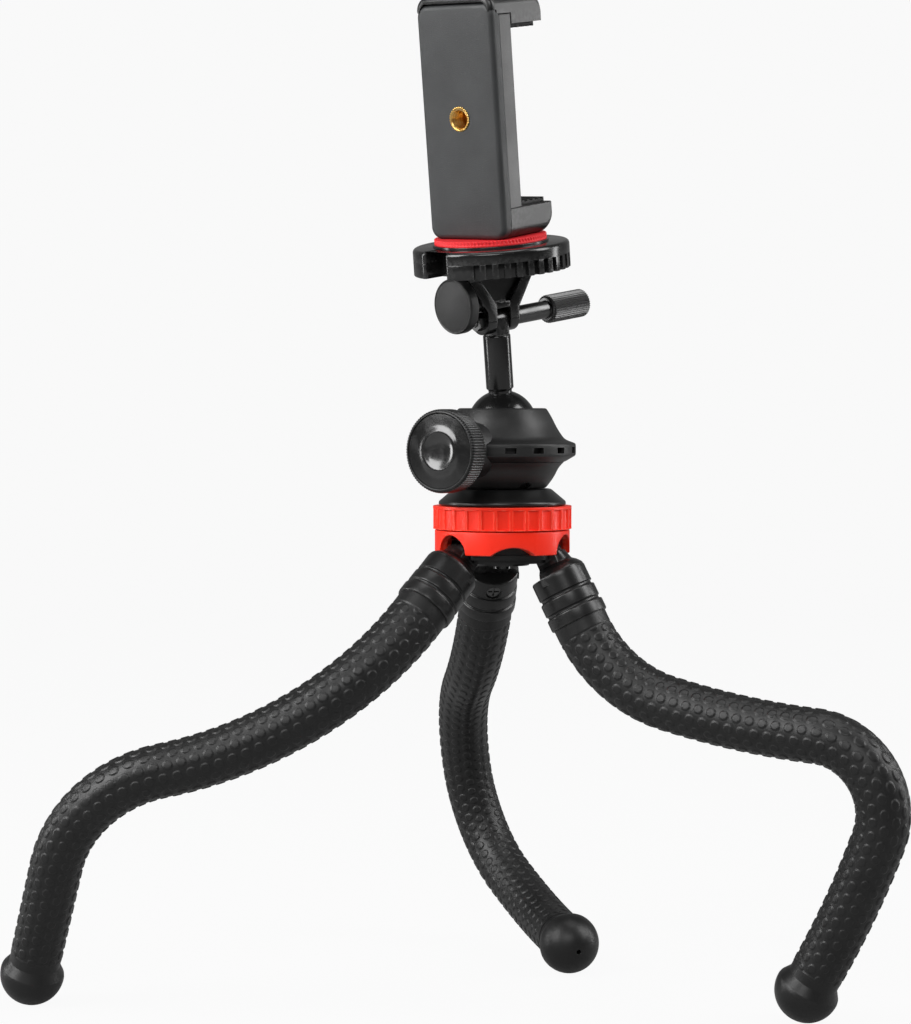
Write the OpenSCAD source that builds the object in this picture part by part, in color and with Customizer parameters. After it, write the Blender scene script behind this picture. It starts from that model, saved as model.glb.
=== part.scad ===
// Flexible leg tripod: three bendable legs on a hinged hub, a panning ball head, a folding platform
// and a spring phone clamp. Standing on a floor at z = 0, tripod axis on the z axis, millimetres.

/* [Stand] */
// Height of the leg hinges above the floor
pivot_height = 149; // [125:1:180]
// Radius of the circle the leg hinges lie on
pivot_radius = 16; // [14:0.5:18]
// Direction of the first leg seen from above
leg_azimuth = -21; // [-60:1:60]

/* [Fits] */
// Gap round a pin, screw or spigot that turns
run_gap = 0.05; // [0.02:0.01:0.1]
// Gap between faces that move past each other
move_gap = 0.3; // [0.2:0.05:0.4]
// Chamfer on the edges of moulded parts
chamfer = 0.6; // [0.3:0.1:0.8]
// Width of the slots in screw heads
drive_slot = 0.6; // [0.4:0.1:0.8]

/* [Legs] */
// Length of a leg from its hinge to the middle of its foot ball
leg_length = 220; // [205:1:260]
// Straight part of the sleeve below the collar
sleeve_lead = 2; // [1:0.5:6]
// Leg radius at the collar
leg_radius_top = 9.1; // [8:0.05:11]
// Leg radius at the foot
leg_radius_end = 8.4; // [7:0.05:9.5]
// Radius of the bendable wire core
core_radius = 4; // [2:0.1:5]
// Free length between two lengths of the core, where the leg bends
core_gap = 2.6; // [2:0.1:4]
// Right leg: share of each of its four parts in the length that bends
right_lengths = [40, 52, 44, 46]; // [20:1:60]
// Right leg: bend of each part
right_angles = [50, 10, 108, 8]; // [0:1:120]
// Right leg: direction of each bend round the leg
right_turns = [10, 5, 190, 180]; // [-180:1:360]
// Rear leg: share of each of its four parts in the length that bends
rear_lengths = [46, 46, 46, 44]; // [20:1:60]
// Rear leg: bend of each part
rear_angles = [23, 47, 72, 26]; // [0:1:120]
// Rear leg: direction of each bend round the leg
rear_turns = [-2, 165, 159, 176]; // [-180:1:360]
// Left leg: share of each of its four parts in the length that bends
left_lengths = [50, 50, 52, 30]; // [20:1:60]
// Left leg: bend of each part
left_angles = [30, 20, 65, 0]; // [0:1:120]
// Left leg: direction of each bend round the leg
left_turns = [75, 35, 183, 0]; // [-180:1:360]

/* [Leg collars] */
// Length from the hinge to the end of the hard collar
collar_length = 25; // [22:1:32]
// Distance from the hinge to the barrel of the collar
barrel_start = 7.6; // [7:0.1:9]
// How far the collar stands proud of the sleeve
collar_proud = 0.8; // [0.4:0.1:1.5]
// Height of the edge of the barrel, and depth of the seat of its screw
collar_cone = 2.4; // [1.5:0.1:3]
// Distance from the hinge to the hood of the collar
hood_start = 2; // [2:0.1:3]
// Step from one band of the collar to the next
band_step = 0.25; // [0.1:0.05:0.5]
// Depth of the grooves between the bands
groove_depth = 0.55; // [0.3:0.05:1]
// Width of the grooves between the bands
groove_width = 0.9; // [0.5:0.1:1.5]
// Distance of the last groove from the end of the collar
groove_end = 4.75; // [3:0.05:6]
// Distance between the two grooves
groove_pitch = 5.5; // [4:0.1:6]
// Radius of a hinge pin
pin_radius = 1.5; // [1:0.1:2]
// Width of the hub lug between the collar ears
lug_width = 5; // [4:0.1:5.6]
// Thickness of a collar ear
ear_thickness = 2.5; // [1.8:0.1:2.8]
// Radius of a collar ear
ear_radius = 3.6; // [3:0.1:4]
// Distance of the collar screw from the hinge
collar_screw_reach = 12; // [11:0.1:13]
// Radius of the collar screw
collar_screw_radius = 1.3; // [1:0.1:1.5]
// Radius of the head of the collar screw
collar_screw_head = 2.5; // [2:0.1:3]

/* [Feet] */
// Radius of the rubber ball that each leg stands on
foot_radius = 10.5; // [9.5:0.1:14]
// Distance from the sleeve end to the middle of the foot ball
foot_reach = 11; // [9:0.5:16]
// Height of the plain band at the top of the foot
foot_band = 3.8; // [3:0.1:5]
// Height and width of the shoulder below the band
foot_shoulder = 1.1; // [0.6:0.1:1.3]
// How far the band stands proud of the sleeve
foot_proud = 0.2; // [0:0.1:0.6]
// Level above the ball middle where the flare runs into the ball
flare_level = 2; // [1:0.1:3]
// Radius of the moulding hole in the foot
foot_hole_radius = 0.8; // [0.5:0.1:1.2]
// Depth of the moulding hole in the foot
foot_hole_depth = 2.5; // [1:0.1:4]

/* [Hub] */
// Radius of the fluted lock ring
ring_radius = 23.1; // [21:0.1:26]
// Height of the fluted lock ring
ring_height = 7.7; // [6:0.1:10]
// Number of flutes round the lock ring
ring_flutes = 28; // [20:1:30]
// Radius of a flute
flute_radius = 4.5; // [3:0.1:6]
// Depth of a flute
flute_depth = 0.6; // [0.3:0.1:0.7]
// Radius of the plain leg shroud
shroud_radius = 22.5; // [21.8:0.1:25]
// Height of the plain leg shroud
shroud_height = 7.8; // [7:0.1:10]
// Radius of the arch in the shroud over each leg
arch_radius = 6.7; // [6.4:0.1:7.2]
// Radius of the shallow scallops between the legs
scallop_radius = 12; // [10:0.5:20]
// Depth of the shallow scallops between the legs
scallop_depth = 2.7; // [1:0.1:4]
// Radius of the spigot that carries the ring and the shroud
spigot_radius = 18; // [17:0.1:19]
// How far the hub flange reaches past the hinges
flange_reach = 3; // [2:0.1:3.5]
// Step in the underside of the hub flange
flange_step = 1.3; // [0.6:0.1:1.6]
// Depth of the hub below the hinges
hub_drop = 3.2; // [2.8:0.1:4]
// Radius of the round end of a hub lug
lug_radius = 2.8; // [2.4:0.1:3.2]
// Room round the collar ears in their slots
slot_room = 0.5; // [0.4:0.1:0.8]
// Radius of the cover under the hub
cover_radius = 9.5; // [7:0.1:10]
// Thickness of the cover under the hub
cover_thickness = 1.2; // [0.8:0.1:2]
// Radius of the screw in the hub cover
hub_screw_radius = 1.5; // [1:0.1:2]
// Radius of the head of the screw in the hub cover
hub_screw_head = 3; // [2.5:0.1:4]
// Height of the head of the screw in the hub cover
hub_screw_cap = 1.2; // [0.8:0.1:2]
// Depth of the screw in the hub
hub_screw_depth = 4.2; // [3:0.1:5]

/* [Pan base] */
// Radius of the foot of the pan base
pan_base_radius = 21.2; // [19:0.1:23]
// Height of the pan base
pan_base_height = 5.3; // [4:0.1:8]
// Height of the straight edge of the pan base
pan_base_edge = 0.8; // [0.4:0.1:2]
// How far the pan base shows round the foot of the housing
pan_base_ledge = 1.8; // [1:0.1:3]
// Radius of the bolt the head pans on
bolt_radius = 3; // [2.5:0.1:3.5]
// Radius of the hexagon head of the pan bolt
bolt_head = 6; // [5:0.1:7]
// Height of the hexagon head of the pan bolt
bolt_cap = 3; // [2:0.1:4]
// Level of the end of the pan bolt above the leg hinges
bolt_end = 3; // [2.5:0.1:6]

/* [Ball head] */
// Radius of the ball
ball_radius = 11.6; // [10:0.1:13]
// Gap between the ball and the cup
cup_gap = 0.1; // [0.05:0.01:0.15]
// Thickness of the ball cup
cup_wall = 2.1; // [1.5:0.1:3]
// Level of the upper edge of the cup below the ball middle
cup_edge = 3; // [2.5:0.1:5]
// Height of the lower edge of the cup above the lowest point of the ball
cup_floor = 1.1; // [0.6:0.1:2]
// Room round the cup in the housing
cup_room = 0.6; // [0.4:0.1:1]
// Height of the housing mouth above the ball middle
mouth_rise = 5.5; // [4.5:0.1:6]
// Height of the rim above the foot of the housing
rim_rise = 12.7; // [12:0.1:16]
// How far the rim stands out from the ends of the housing
rim_reach = 10; // [8.5:0.1:12]
// Height of the rim
rim_height = 3.6; // [3.2:0.1:5]
// Number of window slots round the rim
rim_windows = 16; // [9:1:20]
// Turn of the window slots from the lock knob
window_turn = -4.4; // [-6:0.1:6]
// Width of a window slot
window_width = 3.7; // [3:0.1:5]
// Height of a window slot
window_height = 1.9; // [1.5:0.1:3]
// Depth of a window slot
window_depth = 1.6; // [0.5:0.1:2]
// Thickness of the floor of the housing
housing_floor = 4.6; // [3:0.1:5]
// Radius of the well in the housing, round the head of the pan bolt
well_radius = 9.5; // [7.5:0.1:10]
// Radius of the screws that join the halves of the housing
housing_screw_radius = 1; // [0.8:0.1:1.2]
// Radius of the heads of those screws
housing_screw_head = 1.8; // [1.5:0.1:2]
// Radius of the arched mark on the foot of the housing
pan_mark_radius = 2.2; // [1:0.1:3]
// Turn of that mark from the lock knob
pan_mark_turn = 64; // [40:1:140]
// Lean of the head away from upright
head_lean = 10.2; // [0:0.1:30]
// Direction the head leans to
lean_azimuth = 248; // [0:1:360]
// Radius of the stem above the ball
stem_radius = 4.55; // [3.5:0.05:5]

/* [Ball lock knob] */
// Direction the ball lock knob points to
lock_knob_azimuth = 235; // [200:1:270]
// Radius of the ball lock knob
lock_knob_radius = 13.6; // [11:0.1:16]
// Length of the knurled rim of the knob
lock_knob_length = 7.6; // [6:0.1:12]
// Length of the neck between the housing boss and the knob
knob_neck = 2.1; // [1:0.1:4]
// Radius of the boss on the housing and of the neck of the knob
knob_boss = 6; // [5:0.1:8]
// How far the boss stands out from the rim
boss_reach = 2; // [1:0.1:4]
// Radius of the plain point of the lock screw
point_radius = 2; // [1.5:0.1:2.2]
// Depth of the cap in the knob
cap_recess = 1; // [0.5:0.1:2]
// Width of the knurled rim round the cap
cap_border = 1.4; // [1:0.1:3]
// Radius of the raised ring on the cap
cap_ring = 7; // [4:0.1:8]

/* [Platform] */
// Direction of the tilt hinge axis
head_azimuth = 222; // [200:1:250]
// Distance of the tilt hinge from the ball middle
hinge_reach = 35.5; // [30:0.5:45]
// Thickness of the tongue of the stem
tongue_width = 5.8; // [4:0.1:8]
// Radius of the tongue of the stem
tongue_radius = 3.4; // [2.6:0.1:3.6]
// Width of the yoke across the hinge axis
yoke_depth = 9; // [8:0.1:12]
// Half length of the yoke along the hinge axis at the ears
ear_half = 7; // [5.5:0.1:9]
// Half length of the yoke along the hinge axis under the platform
yoke_spread = 14.4; // [12:0.1:18]
// Radius of the shank of the thumbscrew
hinge_bolt = 1.5; // [1:0.1:1.8]
// Radius of the collar of the thumbscrew
shank_radius = 3; // [2.4:0.1:3.2]
// Length of the collar of the thumbscrew
shank_length = 15.6; // [8:0.1:18]
// Radius of the knurled grip of the thumbscrew
grip_radius = 4.75; // [3.6:0.05:6]
// Length of the knurled grip of the thumbscrew
grip_length = 17; // [14:0.5:30]
// Radius of the nut of the thumbscrew
nut_radius = 3; // [2.5:0.1:3.2]
// Height of the nut of the thumbscrew
nut_height = 2.3; // [1.5:0.1:3]
// Distance of the plate lock knob from the tilt hinge
knob_rise = 6.6; // [6.5:0.1:10]
// Radius of the plate lock knob
plate_knob_radius = 9.1; // [6:0.1:11]
// Thickness of the plate lock knob
plate_knob_length = 4.5; // [4:0.1:8]
// Radius of the stem of the plate lock knob
plate_knob_stem = 2; // [1.8:0.1:2.2]
// Radius of the boss under the plate lock knob
plate_boss = 3.2; // [2.8:0.1:3.4]
// Radius of the platform disc
platform_radius = 25.8; // [22.5:0.1:30]
// Thickness of the platform disc
platform_thickness = 8.8; // [7:0.1:12]
// Number of slots that would fill the platform rim
rim_slots = 40; // [30:2:44]
// Slots left out on each side of the notch
plain_slots = 4; // [3:1:12]
// Width of a slot in the platform rim
slot_width = 2; // [1:0.1:2.6]
// Depth of a slot in the platform rim
slot_depth = 1.3; // [0.6:0.1:2]
// Height of a slot in the platform rim
slot_height = 4.8; // [3:0.1:6]
// Width of the notch in the platform rim
notch_width = 9.6; // [6:0.1:12]
// Depth of the notch in the platform rim
notch_depth = 8; // [4:0.1:9]
// Radius of the pin the platform turns on
plate_pin = 2.5; // [2.2:0.1:2.8]
// Depth of the lock groove in that pin
pin_groove = 0.6; // [0.4:0.1:0.8]
// Height of the step under the rubber pad
plate_rise = 0.8; // [0.4:0.1:1.5]
// Radius of the red rubber pad
pad_radius = 18.5; // [15:0.5:20]
// Thickness of the red rubber pad
pad_thickness = 1.8; // [1:0.1:3]
// Radius of the camera screw thread
stud_radius = 3.1; // [2.8:0.01:3.12]
// Length of the camera screw above the rubber pad
stud_length = 5.5; // [4:0.1:6]
// Radius of the head of the camera screw
stud_head = 5; // [4:0.1:6]
// Height of the head of the camera screw
stud_cap = 3; // [2:0.1:4]

/* [Phone clamp] */
// Direction the back of the clamp faces
clamp_azimuth = 231; // [200:1:260]
// Width of the clamp
clamp_width = 31; // [29:0.5:40]
// Height of the clamp when closed
clamp_height = 78; // [72:1:100]
// Depth from the back of the clamp to the jaw tips
clamp_depth = 26; // [22:0.5:34]
// Distance of the clamp back from the camera screw axis
clamp_back = 12; // [10.5:0.5:14]
// Depth of the upright slab of the clamp
slab_depth = 10; // [9.5:0.1:14]
// Thickness of the back cover
cover_depth = 2.6; // [2:0.1:3]
// Distance from the back of the clamp to the seam along its sides
seam_depth = 4; // [3.2:0.1:5]
// Height of the arch of the sliding jaw over the back cover
jaw_arch = 2.5; // [2:0.1:4]
// Wall of the clamp body
clamp_wall = 2; // [1.5:0.1:2.4]
// Corner radius of the clamp seen from behind
clamp_corner = 4; // [2:0.1:6]
// Rounding of the jaw tips and the top edge
jaw_round = 3; // [1:0.1:4]
// Rounding of the upright edges of the back
back_round = 2; // [1:0.1:2.4]
// Thickness of the lower jaw without its pad
lower_jaw = 10; // [9.5:0.5:14]
// Thickness of the upper jaw without its pad
upper_jaw = 9.7; // [8.5:0.1:14]
// Depth of the cap of the sliding jaw above the body
jaw_cap = 6.5; // [5:0.1:8]
// Width of a rail of the sliding jaw
rail_width = 3.4; // [2:0.1:4]
// Depth of a rail of the sliding jaw
rail_depth = 4.2; // [3:0.1:4.6]
// Thickness of the jaw pads
jaw_pad = 1.5; // [1:0.1:3]
// Margin of the jaw pads
pad_margin = 2; // [1:0.1:4]
// Ribs on each jaw pad
pad_ribs = 6; // [4:1:7]
// Width of a rib
rib_width = 1; // [0.6:0.1:1.4]
// Height of a rib
rib_height = 0.5; // [0.3:0.1:0.8]
// Turns of each clamp spring
spring_turns = 9; // [6:1:16]
// Radius of each clamp spring at the middle of its wire
spring_coil = 1.4; // [1.1:0.05:1.6]
// Radius of the spring wire
spring_wire = 0.35; // [0.25:0.05:0.4]
// Gap between a spring and its neighbours
spring_gap = 0.25; // [0.2:0.01:0.4]
// Distance of the upper end of the springs below the top of the body
spring_drop = 13.5; // [10:0.5:20]
// Thickness of the ears that hold the springs
spring_ear = 2; // [1:0.1:3]
// Radius of the threaded inserts
insert_radius = 4.1; // [3.8:0.05:4.2]
// Radius of the thread in the inserts
thread_radius = 3.175; // [3.15:0.005:3.3]
// Depth of the insert in the back cover
insert_depth = 6; // [4:0.1:6.2]
// How far the back insert stands proud
insert_proud = 0.3; // [0.1:0.1:0.6]
// Distance of each clamp screw from the middle of the clamp
screw_spread = 16; // [9:0.5:20]
// Radius of the clamp screws
clamp_screw_radius = 1; // [0.8:0.1:1.2]
// Radius of the heads of the clamp screws
clamp_screw_head = 2; // [1.6:0.1:2.2]
// Height of the heads of the clamp screws
clamp_screw_cap = 1.1; // [0.8:0.1:1.2]
// Wall round the clamp screws in the bosses of the cover
boss_wall = 1.6; // [1:0.1:2]

/* [Hidden] */
$fn = 64;
eps = 0.02;
far = 60;

// Hub and head levels
hub_bottom = pivot_height - hub_drop;
shroud_bottom = pivot_height - move_gap;
ring_bottom = shroud_bottom + shroud_height + move_gap;
pan_bottom = ring_bottom + ring_height + move_gap;
pan_top = pan_bottom + pan_base_height;
housing_bottom = pan_top + move_gap;
rim_level = housing_bottom + rim_rise;
seat_level = rim_level - point_radius - move_gap;
ball_height = seat_level + cup_gap + ball_radius - cup_floor;
housing_top = ball_height + mouth_rise;
housing_split = rim_level - rim_height - move_gap;
bolt_bottom = pivot_height + bolt_end;
bolt_seat = housing_bottom + housing_floor + move_gap;

// Radii of the ball housing
cup_outer = ball_radius + cup_gap + cup_wall;
cavity_radius = cup_outer + cup_room;
housing_end = cavity_radius + cup_gap;
rim_radius = housing_end + rim_reach;
upstand_radius = cavity_radius - cup_gap;
housing_screw_circle = cavity_radius + housing_screw_head;
screw_ledge = 2;
screw_reach = 4;
// Steps of the housing outline: distance out from its ends, height from the level named
flank = [4.3, 7];
split_out = 6;
shoulder = [6.6, 3.4];
neck = [4.6, 5.3];

// Legs
sections = 4;
sleeve_sides = 24;
sleeve_steps = 7;
leg_count = 3;
leg_step = 360 / leg_count;
sleeve_bore = core_radius + move_gap;
lug_half = lug_width / 2;
ear_inner = lug_half + run_gap;
ear_outer = ear_inner + ear_thickness;
barrel = leg_radius_top + collar_proud;
slot_inner = pivot_radius - ear_radius - slot_room;
slot_half = ear_outer + slot_room;
slot_top = pivot_height + ear_radius + slot_room;
function arcs_of(lengths, angles, turns) = let (
        bends = leg_length - collar_length - sleeve_lead - foot_reach,
        stretch = bends / (lengths[0] + lengths[1] + lengths[2] + lengths[3])
    ) [for (i = [0:sections - 1]) [stretch * lengths[i], angles[i], turns[i]]];
right_arcs = arcs_of(right_lengths, right_angles, right_turns);
rear_arcs = arcs_of(rear_lengths, rear_angles, rear_turns);
left_arcs = arcs_of(left_lengths, left_angles, left_turns);

// A bend of length, angle and direction: its radius, its end point and the frame after it
function bend_radius(a) = a[0] * 180 / (PI * a[1]);
function bend_end(a) = a[1] == 0
    ? [0, 0, a[0]]
    : [bend_radius(a) * (1 - cos(a[1])), 0, bend_radius(a) * sin(a[1])];
function spin(t) = [[cos(t), -sin(t), 0, 0], [sin(t), cos(t), 0, 0], [0, 0, 1, 0], [0, 0, 0, 1]];
function lean(t) = [[cos(t), 0, sin(t), 0], [0, 1, 0, 0], [-sin(t), 0, cos(t), 0], [0, 0, 0, 1]];
function shift(p) = [[1, 0, 0, p[0]], [0, 1, 0, p[1]], [0, 0, 1, p[2]], [0, 0, 0, 1]];
function bend_frame(a) = spin(a[2]) * shift(bend_end(a)) * lean(a[1]) * spin(-a[2]);
function part_of(a, k) = [a[0] * k, a[1] * k, a[2]];
function frame_after(arcs, n) = n == 0
    ? shift([0, 0, collar_length + sleeve_lead])
    : frame_after(arcs, n - 1) * bend_frame(arcs[n - 1]);
function point_in(m, p) = let (q = m * [p[0], p[1], p[2], 1]) [q[0], q[1], q[2]];
function foot_middle(arcs) = point_in(frame_after(arcs, sections), [0, 0, foot_reach]);

// Hinge angle that puts the foot ball on the floor
function leg_tilt(arcs) = let (
        e = foot_middle(arcs),
        drop = pivot_height - foot_radius,
        reach = norm([e[0], e[2]])
    ) atan2(-e[0], e[2]) + acos(min(1, drop / reach));

// Head levels measured along the stem from the ball middle
knob_level = hinge_reach + knob_rise;
yoke_top = knob_level + plate_knob_radius + move_gap;
platform_bottom = yoke_top + move_gap;
platform_top = platform_bottom + platform_thickness;
pad_bottom = platform_top + plate_rise;
pad_top = pad_bottom + pad_thickness;
tongue_half = tongue_width / 2;
tongue_slot = tongue_radius + chamfer;
yoke_half = yoke_depth / 2;
yoke_lip = 1.8;
stem_top = hinge_reach - yoke_half - chamfer;
boss_end = yoke_spread - plate_knob_stem;
plate_groove = plate_pin - pin_groove;
groove_half = 1.2;
pin_end = knob_level - 2.2;
knob_point = 0.6;

// Clamp places
slab_front = clamp_back - slab_depth;
cover_front = clamp_back - cover_depth;
cover_top = clamp_height - jaw_arch;
seam = clamp_back - seam_depth;
cavity_front = slab_front + clamp_wall;
jaw_tip = clamp_back - clamp_depth;
body_top = clamp_height - jaw_cap;
jaw_under = clamp_height - upper_jaw;
cavity_half = clamp_width / 2 - clamp_wall;
spring_outer = spring_coil + spring_wire;
spring_y = cavity_half - spring_gap - spring_outer;
spring_x = (cavity_front + cover_front) / 2;
spring_base = lower_jaw;
spring_top = body_top - spring_drop;
rail_outer = spring_y - spring_outer - spring_gap;
rail_inner = rail_outer - rail_width;
rail_end = lower_jaw + spring_wire + 4;
insert_level = clamp_height / 2;
insert_hole = lower_jaw - clamp_wall;
screw_levels = [insert_level - screw_spread, insert_level + screw_spread];

black = [0.08, 0.08, 0.09];
rubber = [0.13, 0.13, 0.14];
grey = [0.3, 0.3, 0.31];
red = [0.75, 0.12, 0.06];
steel = [0.6, 0.6, 0.62];
brass = [0.8, 0.62, 0.3];

// Rounded rectangle about the origin
function round_rect(w, h, r, n = 5) = [
    for (q = [0:3])
        let (cx = (q == 0 || q == 3 ? 1 : -1) * (w / 2 - r), cy = (q < 2 ? 1 : -1) * (h / 2 - r))
        for (k = [0:n])
            [cx + r * cos(90 * q + 90 * k / n), cy + r * sin(90 * q + 90 * k / n)]
];

// Points of a quarter round with middle c and radius r between two angles
function quarter(c, r, from, to, n = 5) = [
    for (k = [0:n]) let (t = from + (to - from) * k / n) [c[0] + r * cos(t), c[1] + r * sin(t)]
];

// Cylinder along the x axis from x1 to x2
module rod_x(r, x1, x2) {
    translate([x1, 0, 0]) rotate([0, 90, 0]) cylinder(r = r, h = x2 - x1);
}

// Cylinder along the y axis, centred
module rod_y(r, length) {
    rotate([90, 0, 0]) cylinder(r = r, h = length, center = true);
}

// Body turned about the x axis from points of distance along x and radius
module turned_x(points) {
    rotate([0, 90, 0]) rotate_extrude() polygon([for (p = points) [p[1], p[0]]]);
}

// Side profile in x and z, extruded across the width
module across(points, width) {
    rotate([90, 0, 0]) translate([0, 0, -width / 2]) linear_extrude(width) polygon(points);
}

// Cross slot in a screw head at the origin, cut along +x by its depth
module cross_slot(span, depth) {
    for (size = [[drive_slot, span], [span, drive_slot]])
        translate([0, -size[0] / 2, -size[1] / 2]) cube([depth, size[0], size[1]]);
}

// Frame of the leaning head: origin in the ball middle, z along the stem, x along the tilt hinge
module head_frame() {
    translate([0, 0, ball_height])
        rotate([0, 0, lean_azimuth]) rotate([0, head_lean, 0]) rotate([0, 0, head_azimuth - lean_azimuth])
            children();
}

// Frame of the clamp: origin on the rubber pad, x out of the back of the clamp
module clamp_frame() {
    head_frame() translate([0, 0, pad_top]) rotate([0, 0, clamp_azimuth - head_azimuth]) children();
}

// Frame of the ball lock knob: x outward along its screw
module knob_frame() {
    translate([0, 0, rim_level]) rotate([0, 0, lock_knob_azimuth]) children();
}

// Frame of a leg: origin in its hinge, z along the collar, x to the outside
module leg_frame(arcs, place) {
    rotate([0, 0, leg_azimuth + leg_step * place]) translate([pivot_radius, 0, pivot_height])
        rotate([0, 180 - leg_tilt(arcs), 0]) rotate([0, 0, 180])
            children();
}

// Places of the three legs about the axis
module each_leg() {
    for (k = [0:leg_count - 1]) rotate([0, 0, leg_azimuth + leg_step * k]) children();
}

// Places of the housing screws, midway between the legs
module each_housing_screw() {
    for (k = [0:2]) rotate([0, 0, 30 + 120 * k])
        translate([housing_screw_circle, 0, housing_split]) children();
}

// Tube of one bend, starting at the origin along z
module bent_rod(a, r) {
    rotate([0, 0, a[2]])
        if (a[1] == 0)
            cylinder(r = r, h = a[0]);
        else
            translate([bend_radius(a), 0, 0]) rotate([-90, 0, 0]) rotate([0, 0, 180])
                rotate_extrude(angle = a[1]) translate([bend_radius(a), 0]) circle(r);
}

// One stiff length of the wire core, short of the bend points at its ends
module core(arcs, place, i) {
    lead = i == 0 ? 0 : core_gap / 2 / arcs[i][0];
    tail = i == sections - 1 ? 0 : core_gap / 2 / arcs[i][0];
    color(steel) leg_frame(arcs, place) multmatrix(frame_after(arcs, i) * bend_frame(part_of(arcs[i], lead)))
        bent_rod(part_of(arcs[i], 1 - lead - tail), core_radius);
}

// Soft sleeve swept along the whole leg from the collar to the foot
module sleeve(arcs, place) {
    frames = concat(
        [shift([0, 0, collar_length])],
        [for (i = [0:sections - 1]) for (k = [0:sleeve_steps - 1])
            frame_after(arcs, i) * bend_frame(part_of(arcs[i], k / sleeve_steps))],
        [frame_after(arcs, sections)]
    );
    n = len(frames) - 1;
    ring = sleeve_sides;
    outer = [for (j = [0:n]) let (r = leg_radius_top + (leg_radius_end - leg_radius_top) * j / n)
        for (s = [0:ring - 1])
            point_in(frames[j], [r * cos(360 * s / ring), r * sin(360 * s / ring), 0])];
    inner = [for (j = [0:n]) for (s = [0:ring - 1])
        point_in(frames[j], [sleeve_bore * cos(360 * s / ring), sleeve_bore * sin(360 * s / ring), 0])];
    core_at = len(outer);
    skin = [for (j = [0:n - 1]) for (s = [0:ring - 1])
        let (t = (s + 1) % ring, a = j * ring, b = a + ring)
        each [[a + s, b + s, b + t], [a + s, b + t, a + t]]];
    bore = [for (f = skin) [core_at + f[2], core_at + f[1], core_at + f[0]]];
    top = [for (s = [0:ring - 1]) let (t = (s + 1) % ring)
        each [[s, t, core_at + t], [s, core_at + t, core_at + s]]];
    low = n * ring;
    bottom = [for (s = [0:ring - 1]) let (t = (s + 1) % ring)
        each [[low + s, core_at + low + t, low + t], [low + s, core_at + low + s, core_at + low + t]]];
    color(rubber) leg_frame(arcs, place) polyhedron(concat(outer, inner), concat(skin, bore, top, bottom));
}

// Rubber foot: neck band, shoulder, flare and ball with a small hole in its end, seated on the core
module foot(arcs, place) {
    band = leg_radius_end + foot_proud;
    seat = run_gap - foot_reach;
    shoulder_at = foot_band - foot_reach;
    flare = sqrt(foot_radius * foot_radius - flare_level * flare_level);
    color(rubber) leg_frame(arcs, place) multmatrix(frame_after(arcs, sections) * shift([0, 0, foot_reach]))
        difference() {
            union() {
                intersection() {
                    sphere(foot_radius);
                    translate([0, 0, -flare_level]) cylinder(r = far, h = far);
                }
                rotate_extrude() polygon([
                    [0, -foot_reach], [core_radius, -foot_reach], [core_radius, seat], [band, seat],
                    [band, shoulder_at], [band + foot_shoulder, shoulder_at + foot_shoulder],
                    [flare, -flare_level], [0, -flare_level]
                ]);
            }
            translate([0, 0, foot_radius - foot_hole_depth]) cylinder(r = foot_hole_radius, h = far);
        }
}

// Outline of a collar groove k with its sloping edges, in radius and distance from the hinge
function groove_points(k) = let (
        level = collar_length - groove_end - groove_pitch * (1 - k),
        reach = groove_width / 2,
        before = barrel - band_step * (2 - k),
        after = barrel - band_step * (1 - k),
        floor = before - groove_depth
    ) [
        [before, level - reach - groove_depth / 2], [floor, level - reach],
        [floor, level + reach], [after, level + reach + groove_depth / 2]
    ];

// Leg collar: two ears on the hinge pin, and a grooved barrel with a hood over the ears and a stub for the core
module collar(arcs, place) {
    first_band = barrel - 2 * band_step;
    hood_top = ear_outer - slot_room;
    lug_room = lug_radius + slot_room;
    lug_slot = ear_inner + chamfer;
    color(black) leg_frame(arcs, place) difference() {
        union() {
            for (s = [-1, 1]) translate([0, s * (ear_inner + ear_outer) / 2, 0]) {
                rod_y(ear_radius, ear_thickness);
                translate([-ear_radius, -ear_thickness / 2, 0])
                    cube([2 * ear_radius, ear_thickness, barrel_start + collar_cone / 2]);
            }
            difference() {
                rotate_extrude() polygon(concat(
                    [[0, hood_start], [hood_top, hood_start], [first_band, barrel_start + collar_cone]],
                    groove_points(0), groove_points(1),
                    [[barrel, collar_length - chamfer], [barrel - chamfer, collar_length]],
                    [[core_radius, collar_length], [core_radius, collar_length + sleeve_lead]],
                    [[0, collar_length + sleeve_lead]]
                ));
                translate([chamfer - ear_radius - far, -far / 2, barrel_start - far]) cube(far);
                translate([-far, -lug_slot, lug_room - far]) cube([far, 2 * lug_slot, far]);
                rod_y(lug_room, 2 * lug_slot);
            }
        }
        rod_y(pin_radius + run_gap, far);
        translate([0, 0, collar_screw_reach]) mirror([1, 0, 0]) {
            rod_x(collar_screw_radius, core_radius, far);
            rod_x(collar_screw_head + run_gap, first_band - collar_cone, far);
        }
    }
}

// Cross-head screw in the inner side of the collar, seated in its counterbore
module collar_screw(arcs, place) {
    seat = barrel - 2 * band_step - collar_cone;
    top = seat + collar_screw_radius;
    color(steel) leg_frame(arcs, place) translate([0, 0, collar_screw_reach]) mirror([1, 0, 0]) difference() {
        union() {
            rod_x(collar_screw_radius, core_radius, seat + eps);
            rod_x(collar_screw_head, seat, top);
        }
        translate([top - drive_slot, 0, 0]) cross_slot(1.5 * collar_screw_head, far);
    }
}

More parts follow.
